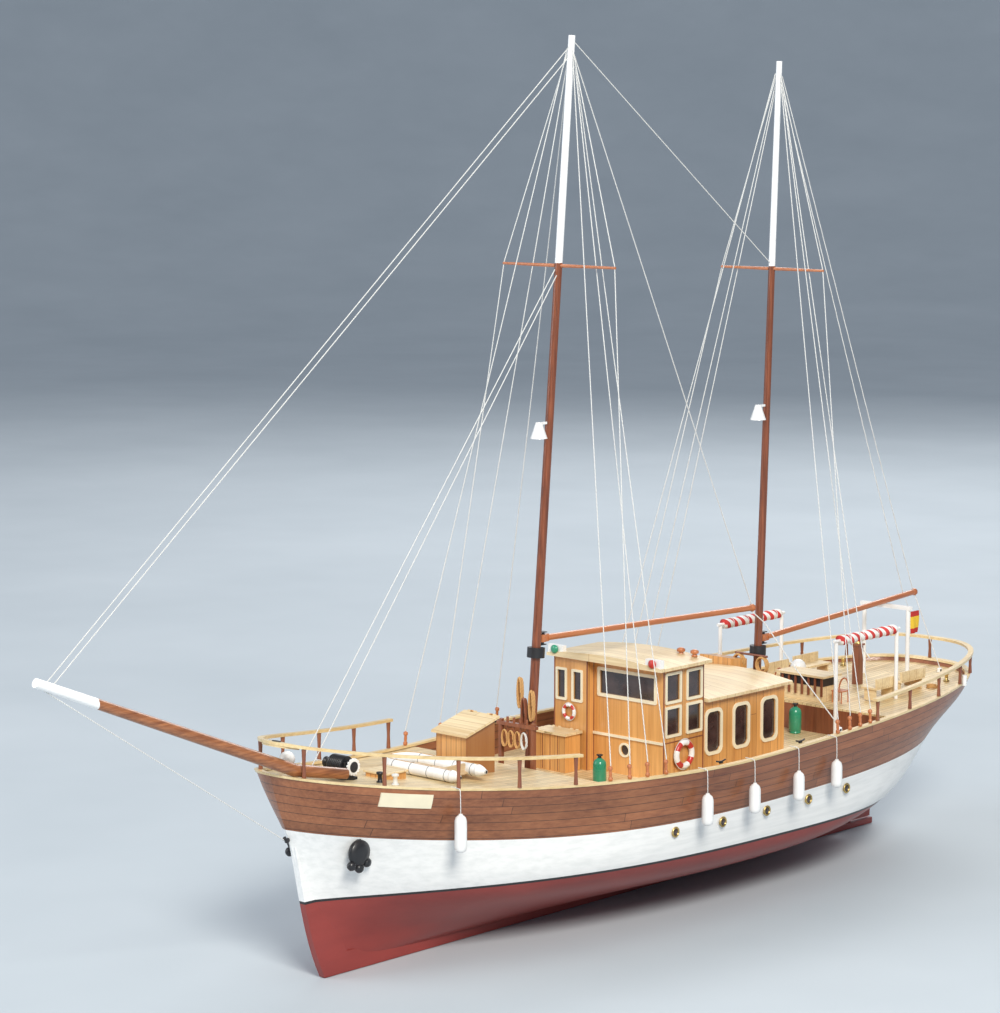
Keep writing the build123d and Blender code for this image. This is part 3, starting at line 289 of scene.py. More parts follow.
def striped_canvas():
    shade = Shade("striped_canvas", 0.85)
    _, y, z = shade.split(shade.position())
    slant = shade.math("ADD", y, shade.math("MULTIPLY", z, 0.8))
    stripe = shade.math("GREATER_THAN", shade.math("PINGPONG", slant, 0.0045), 0.0024)
    weave = shade.noise((2200.0, 2200.0, 2200.0), 2.0)
    dirt = shade.noise((120.0, 120.0, 120.0), 4.0)
    white = shade.ramp(dirt, [(0.3, (0.80, 0.77, 0.72)), (0.6, (0.93, 0.92, 0.90))])
    red = shade.ramp(dirt, [(0.3, (0.50, 0.03, 0.03)), (0.6, (0.72, 0.06, 0.05))])
    shade.colour(shade.blend(stripe, white, red))
    shade.bump(weave, 0.00012)
    return shade.material


def banded_cloth(low, high):
    """Red, yellow and red bands across the flag's height."""
    shade = Shade("banded_cloth", 0.8)
    _, _, z = shade.split(shade.position())
    share = shade.math("DIVIDE", shade.math("SUBTRACT", z, low), high - low)
    middle = shade.math("COMPARE", share, 0.5, 0.26)
    weave = shade.noise((2400.0, 2400.0, 2400.0), 2.0)
    red = shade.ramp(weave, [(0.3, (0.42, 0.02, 0.02)), (0.7, (0.62, 0.04, 0.03))])
    yellow = shade.ramp(weave, [(0.3, (0.78, 0.50, 0.03)), (0.7, (0.92, 0.64, 0.06))])
    shade.colour(shade.blend(middle, red, yellow))
    shade.bump(weave, 0.0001)
    return shade.material


def dark_glass():
    shade = Shade("dark_glazing", 0.08, coat=0.6)
    clouds = shade.noise((70.0, 70.0, 70.0), 3.0)
    shade.colour(shade.ramp(clouds, [(0.3, (0.022, 0.013, 0.014)), (0.7, (0.075, 0.046, 0.044))]))
    shade.bump(clouds, 0.0001, 0.25)
    return shade.material


def coated_fabric():
    shade = Shade("coated_fabric", 0.42, coat=0.15)
    weave = shade.noise((1300.0, 1300.0, 1300.0), 2.0)
    folds_and_shade = shade.noise((90.0, 30.0, 90.0), 4.0)
    # painted shade: the fabric is painted darker in the fold hollows that the bump makes
    shade.colour(shade.ramp(folds_and_shade, [(0.3, (0.72, 0.73, 0.74)), (0.62, (0.92, 0.92, 0.91))]))
    shade.bump(shade.math("ADD", folds_and_shade, shade.math("MULTIPLY", weave, 0.3)), 0.0003, 0.4)
    return shade.material


PALE_DARK, PALE_LIGHT = (0.62, 0.42, 0.18), (0.92, 0.76, 0.46)
ORANGE_DARK, ORANGE_LIGHT = (0.52, 0.22, 0.055), (0.84, 0.45, 0.15)
BROWN_DARK, BROWN_LIGHT = (0.17, 0.052, 0.022), (0.39, 0.15, 0.064)

M = {
    "topsides": wood("mahogany_planking", BROWN_DARK, BROWN_LIGHT, "Y", 0.42, 0.3,
                     (0.0056, 0.19, "sheer"), (0.035, 0.015, 0.010)),
    "hull": hull_paint(),
    "deck": wood("deck_planks", PALE_DARK, PALE_LIGHT, "Y", 0.45, 0.2, (0.0042, 0.085, "X"),
                 (0.22, 0.11, 0.04)),
    "cap": wood("pale_capping", PALE_DARK, (0.92, 0.74, 0.42), "Y", 0.38, 0.35),
    "wall": wood("orange_pine_walls", ORANGE_DARK, ORANGE_LIGHT, "Z", 0.36, 0.45, (0.0085, 0.4, "Y"),
                 (0.26, 0.09, 0.03), 0.14),
    "box_wall": wood("orange_pine_boards", ORANGE_DARK, ORANGE_LIGHT, "Z", 0.36, 0.45, (0.0046, 0.4, "X"),
                     (0.26, 0.09, 0.03), 0.16),
    "roof": wood("pale_roof_planks", (0.66, 0.46, 0.22), (0.93, 0.78, 0.50), "X", 0.42, 0.25,
                 (0.0090, 0.4, "Y"), (0.48, 0.28, 0.12), 0.10),
    "brown": wood("mahogany", (0.14, 0.035, 0.018), (0.34, 0.12, 0.055), "Z", 0.35, 0.4),
    "boom": wood("boom_pine", (0.36, 0.10, 0.035), (0.62, 0.22, 0.08), "Y", 0.35, 0.4),
    "sprit": sprit_finish(),
    "ply": wood("plywood", (0.48, 0.33, 0.18), (0.72, 0.56, 0.36), "Y", 0.7, 0.0),
    "mast": mast_finish(),
    "white": paint("white_enamel", (0.93, 0.93, 0.92), 0.32, 0.4, 0.08),
    "cream": paint("cream_enamel", (0.93, 0.84, 0.62), 0.42, 0.2, 0.10),
    "red": paint("red_enamel", (0.62, 0.04, 0.03), 0.35, 0.4, 0.2),
    "bottom": paint("bottom_paint", (0.32, 0.042, 0.033), 0.5, 0.1, 0.3),
    "green": paint("green_enamel", (0.035, 0.34, 0.19), 0.3, 0.5, 0.2),
    "black": paint("black_enamel", (0.018, 0.018, 0.022), 0.42, 0.2, 0.4),
    "grey": paint("grey_plastic", (0.22, 0.23, 0.25), 0.5, 0.0, 0.2),
    "brass": metal("brass", (0.78, 0.56, 0.22)),
    "steel": metal("steel", (0.62, 0.62, 0.64), 0.28, 0.2),
    "thread": cordage("rigging_thread", (0.84, 0.84, 0.82)),
    "rope": cordage("coir_rope", (0.74, 0.42, 0.16), 0.4),
    "canvas": striped_canvas(),
    "glass": dark_glass(),
    "rubber": coated_fabric(),
}

NODE_LOOKS = {
    "topsides": ["topside_planking"],
    "hull": ["hull_shell", "keel_and_stem"],
    "bottom": ["rudder"],
    "deck": ["raised_decks", "main_deck"],
    "cap": ["bulwark_cap", "rail_caps"],
    "wall": ["wheelhouse_walls", "cabin_walls"],
    "box_wall": ["companion_box", "deck_locker", "companion_hood"],
    "roof": ["wheelhouse_roof", "cabin_roof", "companion_lid", "locker_lid", "aft_deck_furniture"],
    "brown": ["deck_bulkheads", "rail_posts", "helm_pedestal"],
    "boom": ["main_boom", "mizzen_boom", "spreaders"],
    "sprit": ["bowsprit"],
    "ply": ["gear_trays"],
    "mast": ["foremast", "mizzen_mast"],
    "white": ["white_stanchions", "lamps", "helm_wheel"],
    "cream": ["window_frames", "name_boards"],
    "black": ["mast_fittings", "windlass_frame", "windlass_drum", "rudder_servo", "receiver",
              "servo_horn"],
    "grey": ["battery", "tiller_arm"],
    "brass": ["hull_portholes", "propeller", "stern_tubes"],
    "steel": ["propeller_shaft", "motor", "pushrod"],
    "thread": ["standing_rigging", "main_topping_lift", "mizzen_topping_lift"],
    "glass": ["window_panes"],
}


def dress_frame():
    for look, nodes in NODE_LOOKS.items():
        for node in nodes:
            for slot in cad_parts[node].material_slots:
                slot.material = M[look]


# ---------------------------------------------------------------- mesh helpers
def piece(name, verts, faces, look, body, stands_for=(), smooth=True, slot=None):
    mesh = bpy.data.meshes.new(name)
    mesh.from_pydata([tuple(v) for v in verts], [], faces)
    mesh.validate()
    mesh.polygons.foreach_set("use_smooth", [smooth] * len(mesh.polygons))
    obj = bpy.data.objects.new(name, mesh)
    bpy.context.scene.collection.objects.link(obj)
    looks = look if isinstance(look, (list, tuple)) else [look]
    for item in looks:
        mesh.materials.append(M[item] if isinstance(item, str) else item)
    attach(obj, body)
    if stands_for:
        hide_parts(*stands_for)
    return obj


def basis(axis):
    """Three unit vectors, the last along axis."""
    w = Vector(axis).normalized()
    u = w.orthogonal().normalized()
    return u, w.cross(u), w


def lathe(name, centre, axis, profile, look, body, segments=28, **more):
    """A turned piece: profile is a list of (radius, distance along the axis), in metres."""
    u, v, w = basis(axis)
    verts, faces = [], []
    for radius, height in profile:
        for i in range(segments):
            a = 2 * math.pi * i / segments
            verts.append(Vector(centre) + w * height + (u * math.cos(a) + v * math.sin(a)) * radius)
    for row in range(len(profile) - 1):
        for i in range(segments):
            j = (i + 1) % segments
            low, high = row * segments, (row + 1) * segments
            faces.append((low + i, low + j, high + j, high + i))
    faces.append(tuple(range(segments - 1, -1, -1)))
    last = (len(profile) - 1) * segments
    faces.append(tuple(range(last, last + segments)))
    return piece(name, verts, faces, look, body, **more)


def line(name, points, radius, look, body, rounded=False, closed=False, radii=None, **more):
    """A rope, rod or rail along points."""
    curve = bpy.data.curves.new(name, "CURVE")
    curve.dimensions = "3D"
    curve.bevel_depth = radius
    curve.bevel_resolution = 3
    curve.use_fill_caps = True
    spline = curve.splines.new("NURBS" if rounded else "POLY")
    spline.points.add(len(points) - 1)
    for index, point in enumerate(points):
        spline.points[index].co = (*point, 1)
        spline.points[index].radius = radii[index] if radii else 1.0
    spline.use_cyclic_u = closed
    if rounded:
        spline.order_u = 3
        spline.use_endpoint_u = not closed
        spline.resolution_u = 8
    obj = bpy.data.objects.new(name, curve)
    bpy.context.scene.collection.objects.link(obj)
    curve.materials.append(M[look])
    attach(obj, body)
    if more.get("stands_for"):
        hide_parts(*more["stands_for"])
    return obj


def tube(name, points, radius, look, steps=10, around=10):
    """A rope as a plain mesh with no body, for a piece that runs between two bodies."""
    centres = []
    for a, b in zip(points, points[1:]):
        centres += [Vector(a).lerp(Vector(b), i / steps) for i in range(steps)]
    centres.append(Vector(points[-1]))
    verts, faces = [], []
    for index, centre in enumerate(centres):
        before, after = centres[max(index - 1, 0)], centres[min(index + 1, len(centres) - 1)]
        u, v, _ = basis(after - before)
        for i in range(around):
            a = 2 * math.pi * i / around
            verts.append(centre + (u * math.cos(a) + v * math.sin(a)) * radius)
    for row in range(len(centres) - 1):
        for i in range(around):
            j = (i + 1) % around
            near, far = row * around, (row + 1) * around
            faces.append((near + i, near + j, far + j, far + i))
    mesh = bpy.data.meshes.new(name)
    mesh.from_pydata([tuple(v) for v in verts], [], faces)
    mesh.polygons.foreach_set("use_smooth", [True] * len(faces))
    mesh.materials.append(M[look])
    obj = bpy.data.objects.new(name, mesh)
    bpy.context.scene.collection.objects.link(obj)
    return obj


def block(name, low, high, look, body, bevel=0.0003, **more):
    """A box with eased edges."""
    x0, y0, z0 = low
    x1, y1, z1 = high
    verts = [(x, y, z) for x in (x0, x1) for y in (y0, y1) for z in (z0, z1)]
    faces = [(0, 1, 3, 2), (4, 6, 7, 5), (0, 4, 5, 1), (2, 3, 7, 6), (0, 2, 6, 4), (1, 5, 7, 3)]
    obj = piece(name, verts, faces, look, body, smooth=False, **more)
    ease = obj.modifiers.new("eased", "BEVEL")
    ease.width = bevel
    ease.segments = 2
    return obj


def ring(name, centre, axis, big, small, look, body, bands=0, **more):
    """A torus; with bands, every second eighth takes the second look."""
    u, v, w = basis(axis)
    around, across = 64, 16
    verts, faces = [], []
    for i in range(around):
        a = 2 * math.pi * i / around
        out = u * math.cos(a) + v * math.sin(a)
        for j in range(across):
            b = 2 * math.pi * j / across
            verts.append(Vector(centre) + out * (big + small * math.cos(b)) + w * small * math.sin(b))
            faces.append((i * across + j, i * across + (j + 1) % across,
                          (i + 1) % around * across + (j + 1) % across, (i + 1) % around * across + j))
    obj = piece(name, verts, faces, look, body, **more)
    if bands:
        for index, polygon in enumerate(obj.data.polygons):
            turn = (index // across) / around
            polygon.material_index = int(0.28 < (turn * bands + 0.5) % 1 < 0.72)
    return obj


def islands(node):
    """(lowest corner, highest corner) of each separate solid in a CAD node, from bow to stern."""
    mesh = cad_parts[node].data
    owner = {}

    def find(key):
        while owner[key] != key:
            owner[key] = owner[owner[key]]
            key = owner[key]
        return key
    keys = [tuple(round(c, 6) for c in vertex.co) for vertex in mesh.vertices]
    for key in keys:
        owner[key] = key
    for polygon in mesh.polygons:
        first = find(keys[polygon.vertices[0]])
        for index in polygon.vertices[1:]:
            owner[find(keys[index])] = first
    groups = {}
    for key in owner:
        groups.setdefault(find(key), []).append(key)
    boxes = []
    for members in groups.values():
        low = Vector([min(m[i] for m in members) for i in range(3)])
        high = Vector([max(m[i] for m in members) for i in range(3)])
        boxes.append((low, high))
    return sorted(boxes, key=lambda pair: (round(pair[0].y, 4), round(pair[0].x, 4)))


def corners(node):
    """Lowest and highest corner of a CAD node."""
    low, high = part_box(node)
    return Vector(low), Vector(high)


# ---------------------------------------------------------------- fittings
def fenders():
    """Rounded white fenders on lines that go over the bulwark cap."""
    count = 0
    for low, high in islands("fenders"):
        middle = (low + high) / 2
        if high.x - low.x < 0.006:
            continue
        count += 1
        height = high.z - low.z
        profile = [(0.0005, 0), (0.0022, 0.0003), (0.0035, 0.0012), (0.0040, 0.0030), (0.0041, 0.005),
                   (0.0041, height - 0.0065), (0.0040, height - 0.0045), (0.0034, height - 0.0024),
                   (0.0022, height - 0.0012), (0.0014, height - 0.0008), (0.0013, height), (0.0004, height)]
        stands = ("fenders",) if count == 1 else ()
        lathe(f"fender_{count}", (middle.x, middle.y, low.z), (0, 0, 1), profile, "white", "hull",
              stands_for=stands)
        side = 1 if middle.x > 0 else -1
        rail = sheer(middle.y)
        points = [(middle.x, middle.y, high.z - 0.0008), (middle.x, middle.y, rail + 0.0004),
                  (middle.x - side * 0.0012, middle.y, rail + 0.0021),
                  (middle.x - side * 0.0085, middle.y, rail + 0.0021)]
        line(f"fender_line_{count}", points, 0.0003, "thread", "hull", rounded=True)


def life_rings():
    for index, (low, high) in enumerate(islands("life_rings")):
        middle = (low + high) / 2
        size = high - low
        small = min(size) / 2
        axis = (1, 0, 0) if size.x < size.y else (0, 1, 0)
        big = size.z / 2 - small
        stands = ("life_rings",) if index == 0 else ()
        ring(f"life_ring_{index + 1}", middle, axis, big, small, ["white", "red"], "hull", bands=4,
             stands_for=stands)
        u, v, w = basis(axis)
        rope = []
        for step in range(32):
            a = 2 * math.pi * step / 32
            reach = big + small * (1.05 + 0.25 * abs(math.sin(2 * a)))
            rope.append(middle + (u * math.cos(a) + v * math.sin(a)) * reach + w * 0.0)
        line(f"life_ring_rope_{index + 1}", rope, 0.00028, "thread", "hull", rounded=True, closed=True)


def gas_bottles():
    for index, (low, high) in enumerate(islands("gas_bottles")):
        middle = (low + high) / 2
        r = (high.x - low.x) / 2
        profile = [(r * 0.86, 0), (r * 0.9, 0.0012), (r * 0.80, 0.0014), (r, 0.0024), (r, 0.0158),
                   (r * 0.93, 0.0175), (r * 0.72, 0.0190), (r * 0.40, 0.0198), (r * 0.36, 0.0203)]
        stands = ("gas_bottles",) if index == 0 else ()
        lathe(f"gas_bottle_{index + 1}", (middle.x, middle.y, low.z), (0, 0, 1), profile, "green", "hull",
              stands_for=stands)
        valve = [(0.0012, 0.0202), (0.0013, 0.0212), (0.0009, 0.0214), (0.0009, 0.0219), (0.0022, 0.0220),
                 (0.0023, 0.0228), (0.0006, 0.0229)]
        lathe(f"gas_valve_{index + 1}", (middle.x, middle.y, low.z), (0, 0, 1), valve, "black", "hull")


def porthole_glass():
    """A brass rim and dark glass on every port of the hull."""
    for index, (low, high) in enumerate(islands("hull_portholes")):
        middle = (low + high) / 2
        side = 1 if middle.x > 0 else -1
        face = (high.x if side > 0 else low.x, middle.y, middle.z)
        ring(f"port_rim_{index + 1}", face, (side, 0, 0), 0.0031, 0.0007, "brass", "hull")
        pane = [(0.0028, -0.0006), (0.0028, 0.0002), (0.0008, 0.0005)]
        lathe(f"port_glass_{index + 1}", face, (side, 0, 0), pane, "glass", "hull", 20)


def rigging_fittings():
    """Turned bottle screws under every shroud, and blocks for the two sheets."""
    first = True
    for index, (low, high) in enumerate(islands("rigging_fittings")):
        middle, size = (low + high) / 2, high - low
        stands = ("rigging_fittings",) if first else ()
        first = False
        if size.z > 0.008 and size.x < 0.004:
            profile = [(0.0008, 0), (0.0015, 0.0006), (0.0016, 0.0022), (0.0009, 0.0030),
                       (0.0011, 0.0038), (0.0011, 0.0062), (0.0009, 0.0070), (0.0016, 0.0078),
                       (0.0016, 0.0094), (0.0006, 0.0103)]
            lean = Vector((-0.06 if middle.x > 0 else 0.06, 0, 1))
            foot = (middle.x, middle.y, low.z)
            lathe(f"bottle_screw_{index + 1}", foot, lean, profile, "boom", "hull", 14, stands_for=stands)
        elif middle.y < -0.3:
            profile = [(0.0018, 0), (0.0019, 0.001), (0.0010, 0.0016), (0.0010, 0.0032), (0.0015, 0.0036)]
            lathe("bobstay_eye", (0, high.y - 0.0002, low.z + 0.001), (0, -0.8, 0.6), profile, "black",
                  "hull", 14, stands_for=stands)
        else:
            block(f"sheet_block_{index + 1}", low, high, "white", "hull", 0.0008, stands_for=stands)
            lathe(f"sheet_sheave_{index + 1}", (low.x - 0.0001, middle.y, middle.z), (1, 0, 0),
                  [(0.0010, 0), (0.0011, 0.0005), (0.0011, size.x - 0.0003), (0.0010, size.x + 0.0002)],
                  "black", "hull", 16)


def sheets():
    """The two boom sheets: each runs from its boom down to the hull."""
    main_end, mizzen_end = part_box("main_boom")[1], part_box("mizzen_boom")[1]
    foot = (0.1055, 0.117, 0.1185)
    top = (0.0, main_end[1] - 0.003, 0.1872)
    points = [top, (0.012, main_end[1] - 0.003, 0.1800), (0.045, 0.1375, 0.1560), foot]
    rope = tube("main_sheet", points, 0.00045, "thread")
    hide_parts("boom_sheets")
    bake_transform(rope)
    top = (0.0004, mizzen_end[1] - 0.002, 0.1751)
    foot = (0.027, 0.356, 0.1203)
    rope = tube("mizzen_sheet", [top, foot], 0.00035, "thread", 24)
    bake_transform(rope)


def flag():
    low, high = corners("flag")
    across, down = 18, 26
    verts, faces = [], []
    for j in range(down + 1):
        for i in range(across + 1):
            s, t = i / across, j / down
            wave = 0.0009 * math.sin(3.1 * s + 1.2 * t) + 0.0004 * math.sin(9 * s - 2 * t)
            y = low.y + (high.y - low.y) * (0.04 + 0.92 * s) + 0.0006 * math.sin(4 * t) * s
            x = low.x + 0.0003 + wave * (0.3 + 0.7 * t)
            verts.append((x, y, high.z - (high.z - low.z) * t * 0.985))
    for j in range(down):
        for i in range(across):
            a = j * (across + 1) + i
            faces.append((a, a + 1, a + across + 2, a + across + 1))
    look = banded_cloth(low.z, high.z)
    cloth = piece("ensign", verts, faces, look, "mizzen_boom_set", stands_for=("flag",))
    thick = cloth.modifiers.new("thickness", "SOLIDIFY")
    thick.thickness = 0.00015
    top = (low.x + 0.0003, low.y + 0.0004, high.z + 0.0001)
    boom = (low.x * 0.2, low.y - 0.001, 0.1752)
    line("ensign_halyard", [boom, top, (low.x + 0.0003, low.y + 0.0003, low.z)], 0.00022, "thread",
         "mizzen_boom_set")


def awnings():
    """Rolled striped awnings: a loose spiral of canvas round each bar, tied with cord."""
    for index, (low, high) in enumerate(islands("awning_rolls")):
        middle = (low + high) / 2
        radius = (high.z - low.z) / 2
        rows, around = 46, 26
        verts, faces = [], []
        for i in range(rows + 1):
            y = low.y + (high.y - low.y) * i / rows
            for j in range(around):
                a = 2 * math.pi * j / around
                r = radius * (0.93 + 0.05 * math.sin(3 * a + 0.6) + 0.05 * math.sin(i * 0.85 + a))
                r *= 0.90 if i % 12 == 6 else 1.0
                verts.append((middle.x + r * math.cos(a), y, middle.z + r * math.sin(a)))
        for i in range(rows):
            for j in range(around):
                k = (j + 1) % around
                faces.append((i * around + j, i * around + k, (i + 1) * around + k, (i + 1) * around + j))
        faces.append(tuple(range(around - 1, -1, -1)))
        faces.append(tuple(range(rows * around, (rows + 1) * around)))
        stands = ("awning_rolls",) if index == 0 else ()
        piece(f"awning_roll_{index + 1}", verts, faces, "canvas", "hull", stands_for=stands)
        for tie in range(4):
            y = low.y + (high.y - low.y) * (6 + 12 * tie) / rows
            if y < high.y:
                ring(f"awning_tie_{index + 1}_{tie + 1}", (middle.x, y, middle.z), (0, 1, 0), radius * 0.9,
                     0.0003, "thread", "hull")


def dinghy():
    """A small inflatable laid across the foredeck, with taped seams, a floor and a grab line."""
    low, high = corners("dinghy")
    r = (high.z - low.z) / 2
    z = low.z + r
    fore, aft = low.y + r, high.y - r
    turn = (aft - fore) / 2
    bend = low.x + r + turn
    end = high.x - 0.008
    path = [(end - 0.0540 * i / 5, fore, z) for i in range(6)]
    for i in range(1, 16):
        a = math.pi * i / 16
        path.append((bend - turn * math.sin(a), (fore + aft) / 2 - turn * math.cos(a), z))
    path += [(end - 0.0540 * (5 - i) / 5, aft, z) for i in range(6)]
    line("dinghy_tube", path, r, "rubber", "hull", stands_for=("dinghy",))
    for index, y in enumerate((fore, aft)):
        cone = [(r, 0), (r * 0.97, 0.0012), (r * 0.75, 0.004), (r * 0.45, 0.0066), (r * 0.30, 0.0078)]
        lathe(f"dinghy_cone_{index + 1}", (end, y, z), (1, 0, 0), cone, "rubber", "hull")
        plug = [(r * 0.34, 0), (r * 0.36, 0.0006), (r * 0.22, 0.0010)]
        lathe(f"dinghy_plug_{index + 1}", (high.x - 0.0011, y, z), (1, 0, 0), plug, "black", "hull")
        for band in range(4):
            x = end - 0.004 - 0.016 * band
            ring(f"dinghy_seam_{index + 1}_{band + 1}", (x, y, z), (1, 0, 0), r * 0.985, 0.00022, "grey",
                 "hull")
    floor = [(bend, fore + r * 0.5, z - 0.0028), (end - 0.006, aft - r * 0.5, z - 0.0012)]
    block("dinghy_floor", floor[0], floor[1], "ply", "hull")
    transom = [(end - 0.010, fore + r * 0.8, z - 0.003), (end - 0.008, aft - r * 0.8, z + 0.0042)]
    block("dinghy_transom", transom[0], transom[1], "ply", "hull")
    rope = []
    for i, (x, y, _) in enumerate(path):
        outward = 0.0006 if y > (fore + aft) / 2 else -0.0006
        rope.append((x, y + outward, z + r * (0.93 if i % 2 else 1.0)))
    line("dinghy_grab_line", rope, 0.00028, "rope", "hull", rounded=True)


def lamps():
    """Coloured lenses on the roof's side-light boards and reflectors in the mast lamps."""
    for low, high in islands("lamps"):
        middle, size = (low + high) / 2, high - low
        if high.z > 0.3:
            name = f"lamp_bulb_{round(middle.y * 1000)}".replace("-", "f")
            bulb = [(0.0008, 0), (0.0024, 0.0002), (0.0026, 0.0012), (0.0014, 0.0030)]
            lathe(name, (0, low.y + 0.006, low.z - 0.0002), (0, 0, 1), bulb, "cream", "hull")
        elif size.x > 0.01:
            look = "red" if middle.x > 0 else "green"
            side = "port" if middle.x > 0 else "starboard"
            lens = [(0.0022, 0), (0.0031, 0.0003), (0.0031, 0.0016), (0.0018, 0.0024)]
            place = (middle.x, low.y + 0.0018, middle.z)
            lathe(f"side_light_{side}", place, (0, -1, 0), lens, look, "hull", 20)


def coil(name, centre, axis, radius, turns, thick, look, body="hull", tall=1.0):
    """A hung coil of rope: turns that differ a little."""
    u, v, w = Vector((1, 0, 0)), Vector((0, 0, 1)), Vector((0, 1, 0))
    if axis == "X":
        u, w = Vector((0, 1, 0)), Vector((1, 0, 0))
    if axis == "Z":
        v, w = Vector((0, 1, 0)), Vector((0, 0, 1))
    points = []
    for step in range(turns * 12):
        a = 2 * math.pi * step / 12
        reach = radius * (1 + 0.06 * math.sin(step * 0.9))
        lift = thick * 1.4 * (step / 12 - turns / 2)
        points.append(Vector(centre) + u * reach * math.cos(a) + v * reach * tall * math.sin(a) + w * lift)
    return line(name, points, thick, look, body, rounded=True)


def mast_gear():
    """Coils hung on the pin rail and the mizzen, and cleats on the masts."""
    pins = ((-0.009, "rope"), (-0.003, "rope"), (0.003, "rope"), (0.009, "thread"))
    for index, (x, look) in enumerate(pins):
        coil(f"pin_coil_{index + 1}", (x, -0.1150, 0.1295), "Y", 0.0026, 3, 0.00045, look, tall=2.2)
    hanks = ((-0.0058, 0.160, "rope"), (-0.0020, 0.146, "brown"), (0.0050, 0.152, "rope"))
    for index, (x, z, look) in enumerate(hanks):
        coil(f"mast_hank_{index + 1}", (x, FOREMAST_Y - 0.0015, z), "Y", 0.0019, 4, 0.0006, look, tall=5.5)
    for index, x in enumerate((-0.011, 0.011)):
        coil(f"mizzen_coil_{index + 1}", (x, MIZZEN_Y - 0.006, 0.1480), "Y", 0.0050, 4, 0.0007, "rope",
             tall=1.15)
    bar = [(-0.015, MIZZEN_Y - 0.005, 0.1545), (0.015, MIZZEN_Y - 0.005, 0.1545)]
    line("mizzen_pin_bar", bar, 0.0009, "brown", "hull")
    for index, (y, rake) in enumerate(((FOREMAST_Y, 0.0846), (MIZZEN_Y, 0.0416))):
        z = 0.122
        centre = y + rake * (z - MAIN_DECK_Z)
        for side in (-1, 1):
            x = side * 0.0042
            ends = [(x, centre, z - 0.004), (x, centre, z + 0.004)]
            line(f"mast_cleat_{index + 1}_{side + 2}", ends, 0.0006, "boom", "hull", radii=[0.6, 0.6])


def windlass_gear():
    low, high = corners("windlass_drum")
    middle = (low + high) / 2
    for index in range(8):
        x = -0.0056 + 0.0016 * index
        ring(f"windlass_turn_{index + 1}", (x, middle.y, middle.z), (1, 0, 0), 0.0058, 0.0006, "black",
             "windlass")
    gear = []
    for tooth in range(14):
        a = 2 * math.pi * tooth / 14
        for offset, reach in ((0.0, 0.0048), (0.10, 0.0057), (0.24, 0.0057), (0.34, 0.0048)):
            gear.append((a + offset * 1.3, reach))
    verts, faces = [], []
    for x in (0.0116, 0.0129):
        verts += [(x, middle.y + reach * math.cos(a), middle.z + reach * math.sin(a)) for a, reach in gear]
    count = len(gear)
    faces += [(i, (i + 1) % count, count + (i + 1) % count, count + i) for i in range(count)]
    faces += [tuple(range(count - 1, -1, -1)), tuple(range(count, 2 * count))]
    piece("windlass_gear", verts, faces, "white", "windlass", smooth=False)
    chain = [(0.002, middle.y - 0.005, middle.z - 0.003), (0.003, middle.y - 0.013, 0.1335),
             (0.004, middle.y - 0.024, 0.1365), (0.004, middle.y - 0.036, 0.1405)]
    line("anchor_chain", chain, 0.0006, "steel", "hull", rounded=True)


def anchors():
    """A heavy black anchor stowed against each bow: a round crown, three flukes and a shank."""
    for index, (low, high) in enumerate(islands("anchors")):
        middle = (low + high) / 2
        side = 1 if middle.x > 0 else -1
        stands = ("anchors",) if index == 0 else ()
        crown = [(0.0040, -0.0026), (0.0080, -0.0020), (0.0092, 0.0), (0.0080, 0.0020), (0.0040, 0.0030)]
        centre = Vector((middle.x + side * 0.0004, middle.y - 0.004, middle.z))
        lathe(f"anchor_crown_{index + 1}", centre, (side, 0, 0), crown, "black", "hull", 26,
              stands_for=stands)
        for fluke in range(3):
            a = math.radians(-90 + 42 * (fluke - 1))
            tip = centre + Vector((0, 0.0102 * math.cos(a), 0.0102 * math.sin(a)))
            lobe = [(0.0010, -0.0026), (0.0027, -0.0017), (0.0033, 0.0), (0.0027, 0.0017), (0.0010, 0.0026)]
            lathe(f"anchor_fluke_{index + 1}_{fluke + 1}", tip, (side, 0, 0), lobe, "black", "hull", 16)
        eye = centre + Vector((-side * 0.0004, 0.001, 0.0140))
        line(f"anchor_shank_{index + 1}", [centre, eye], 0.0012, "black", "hull")


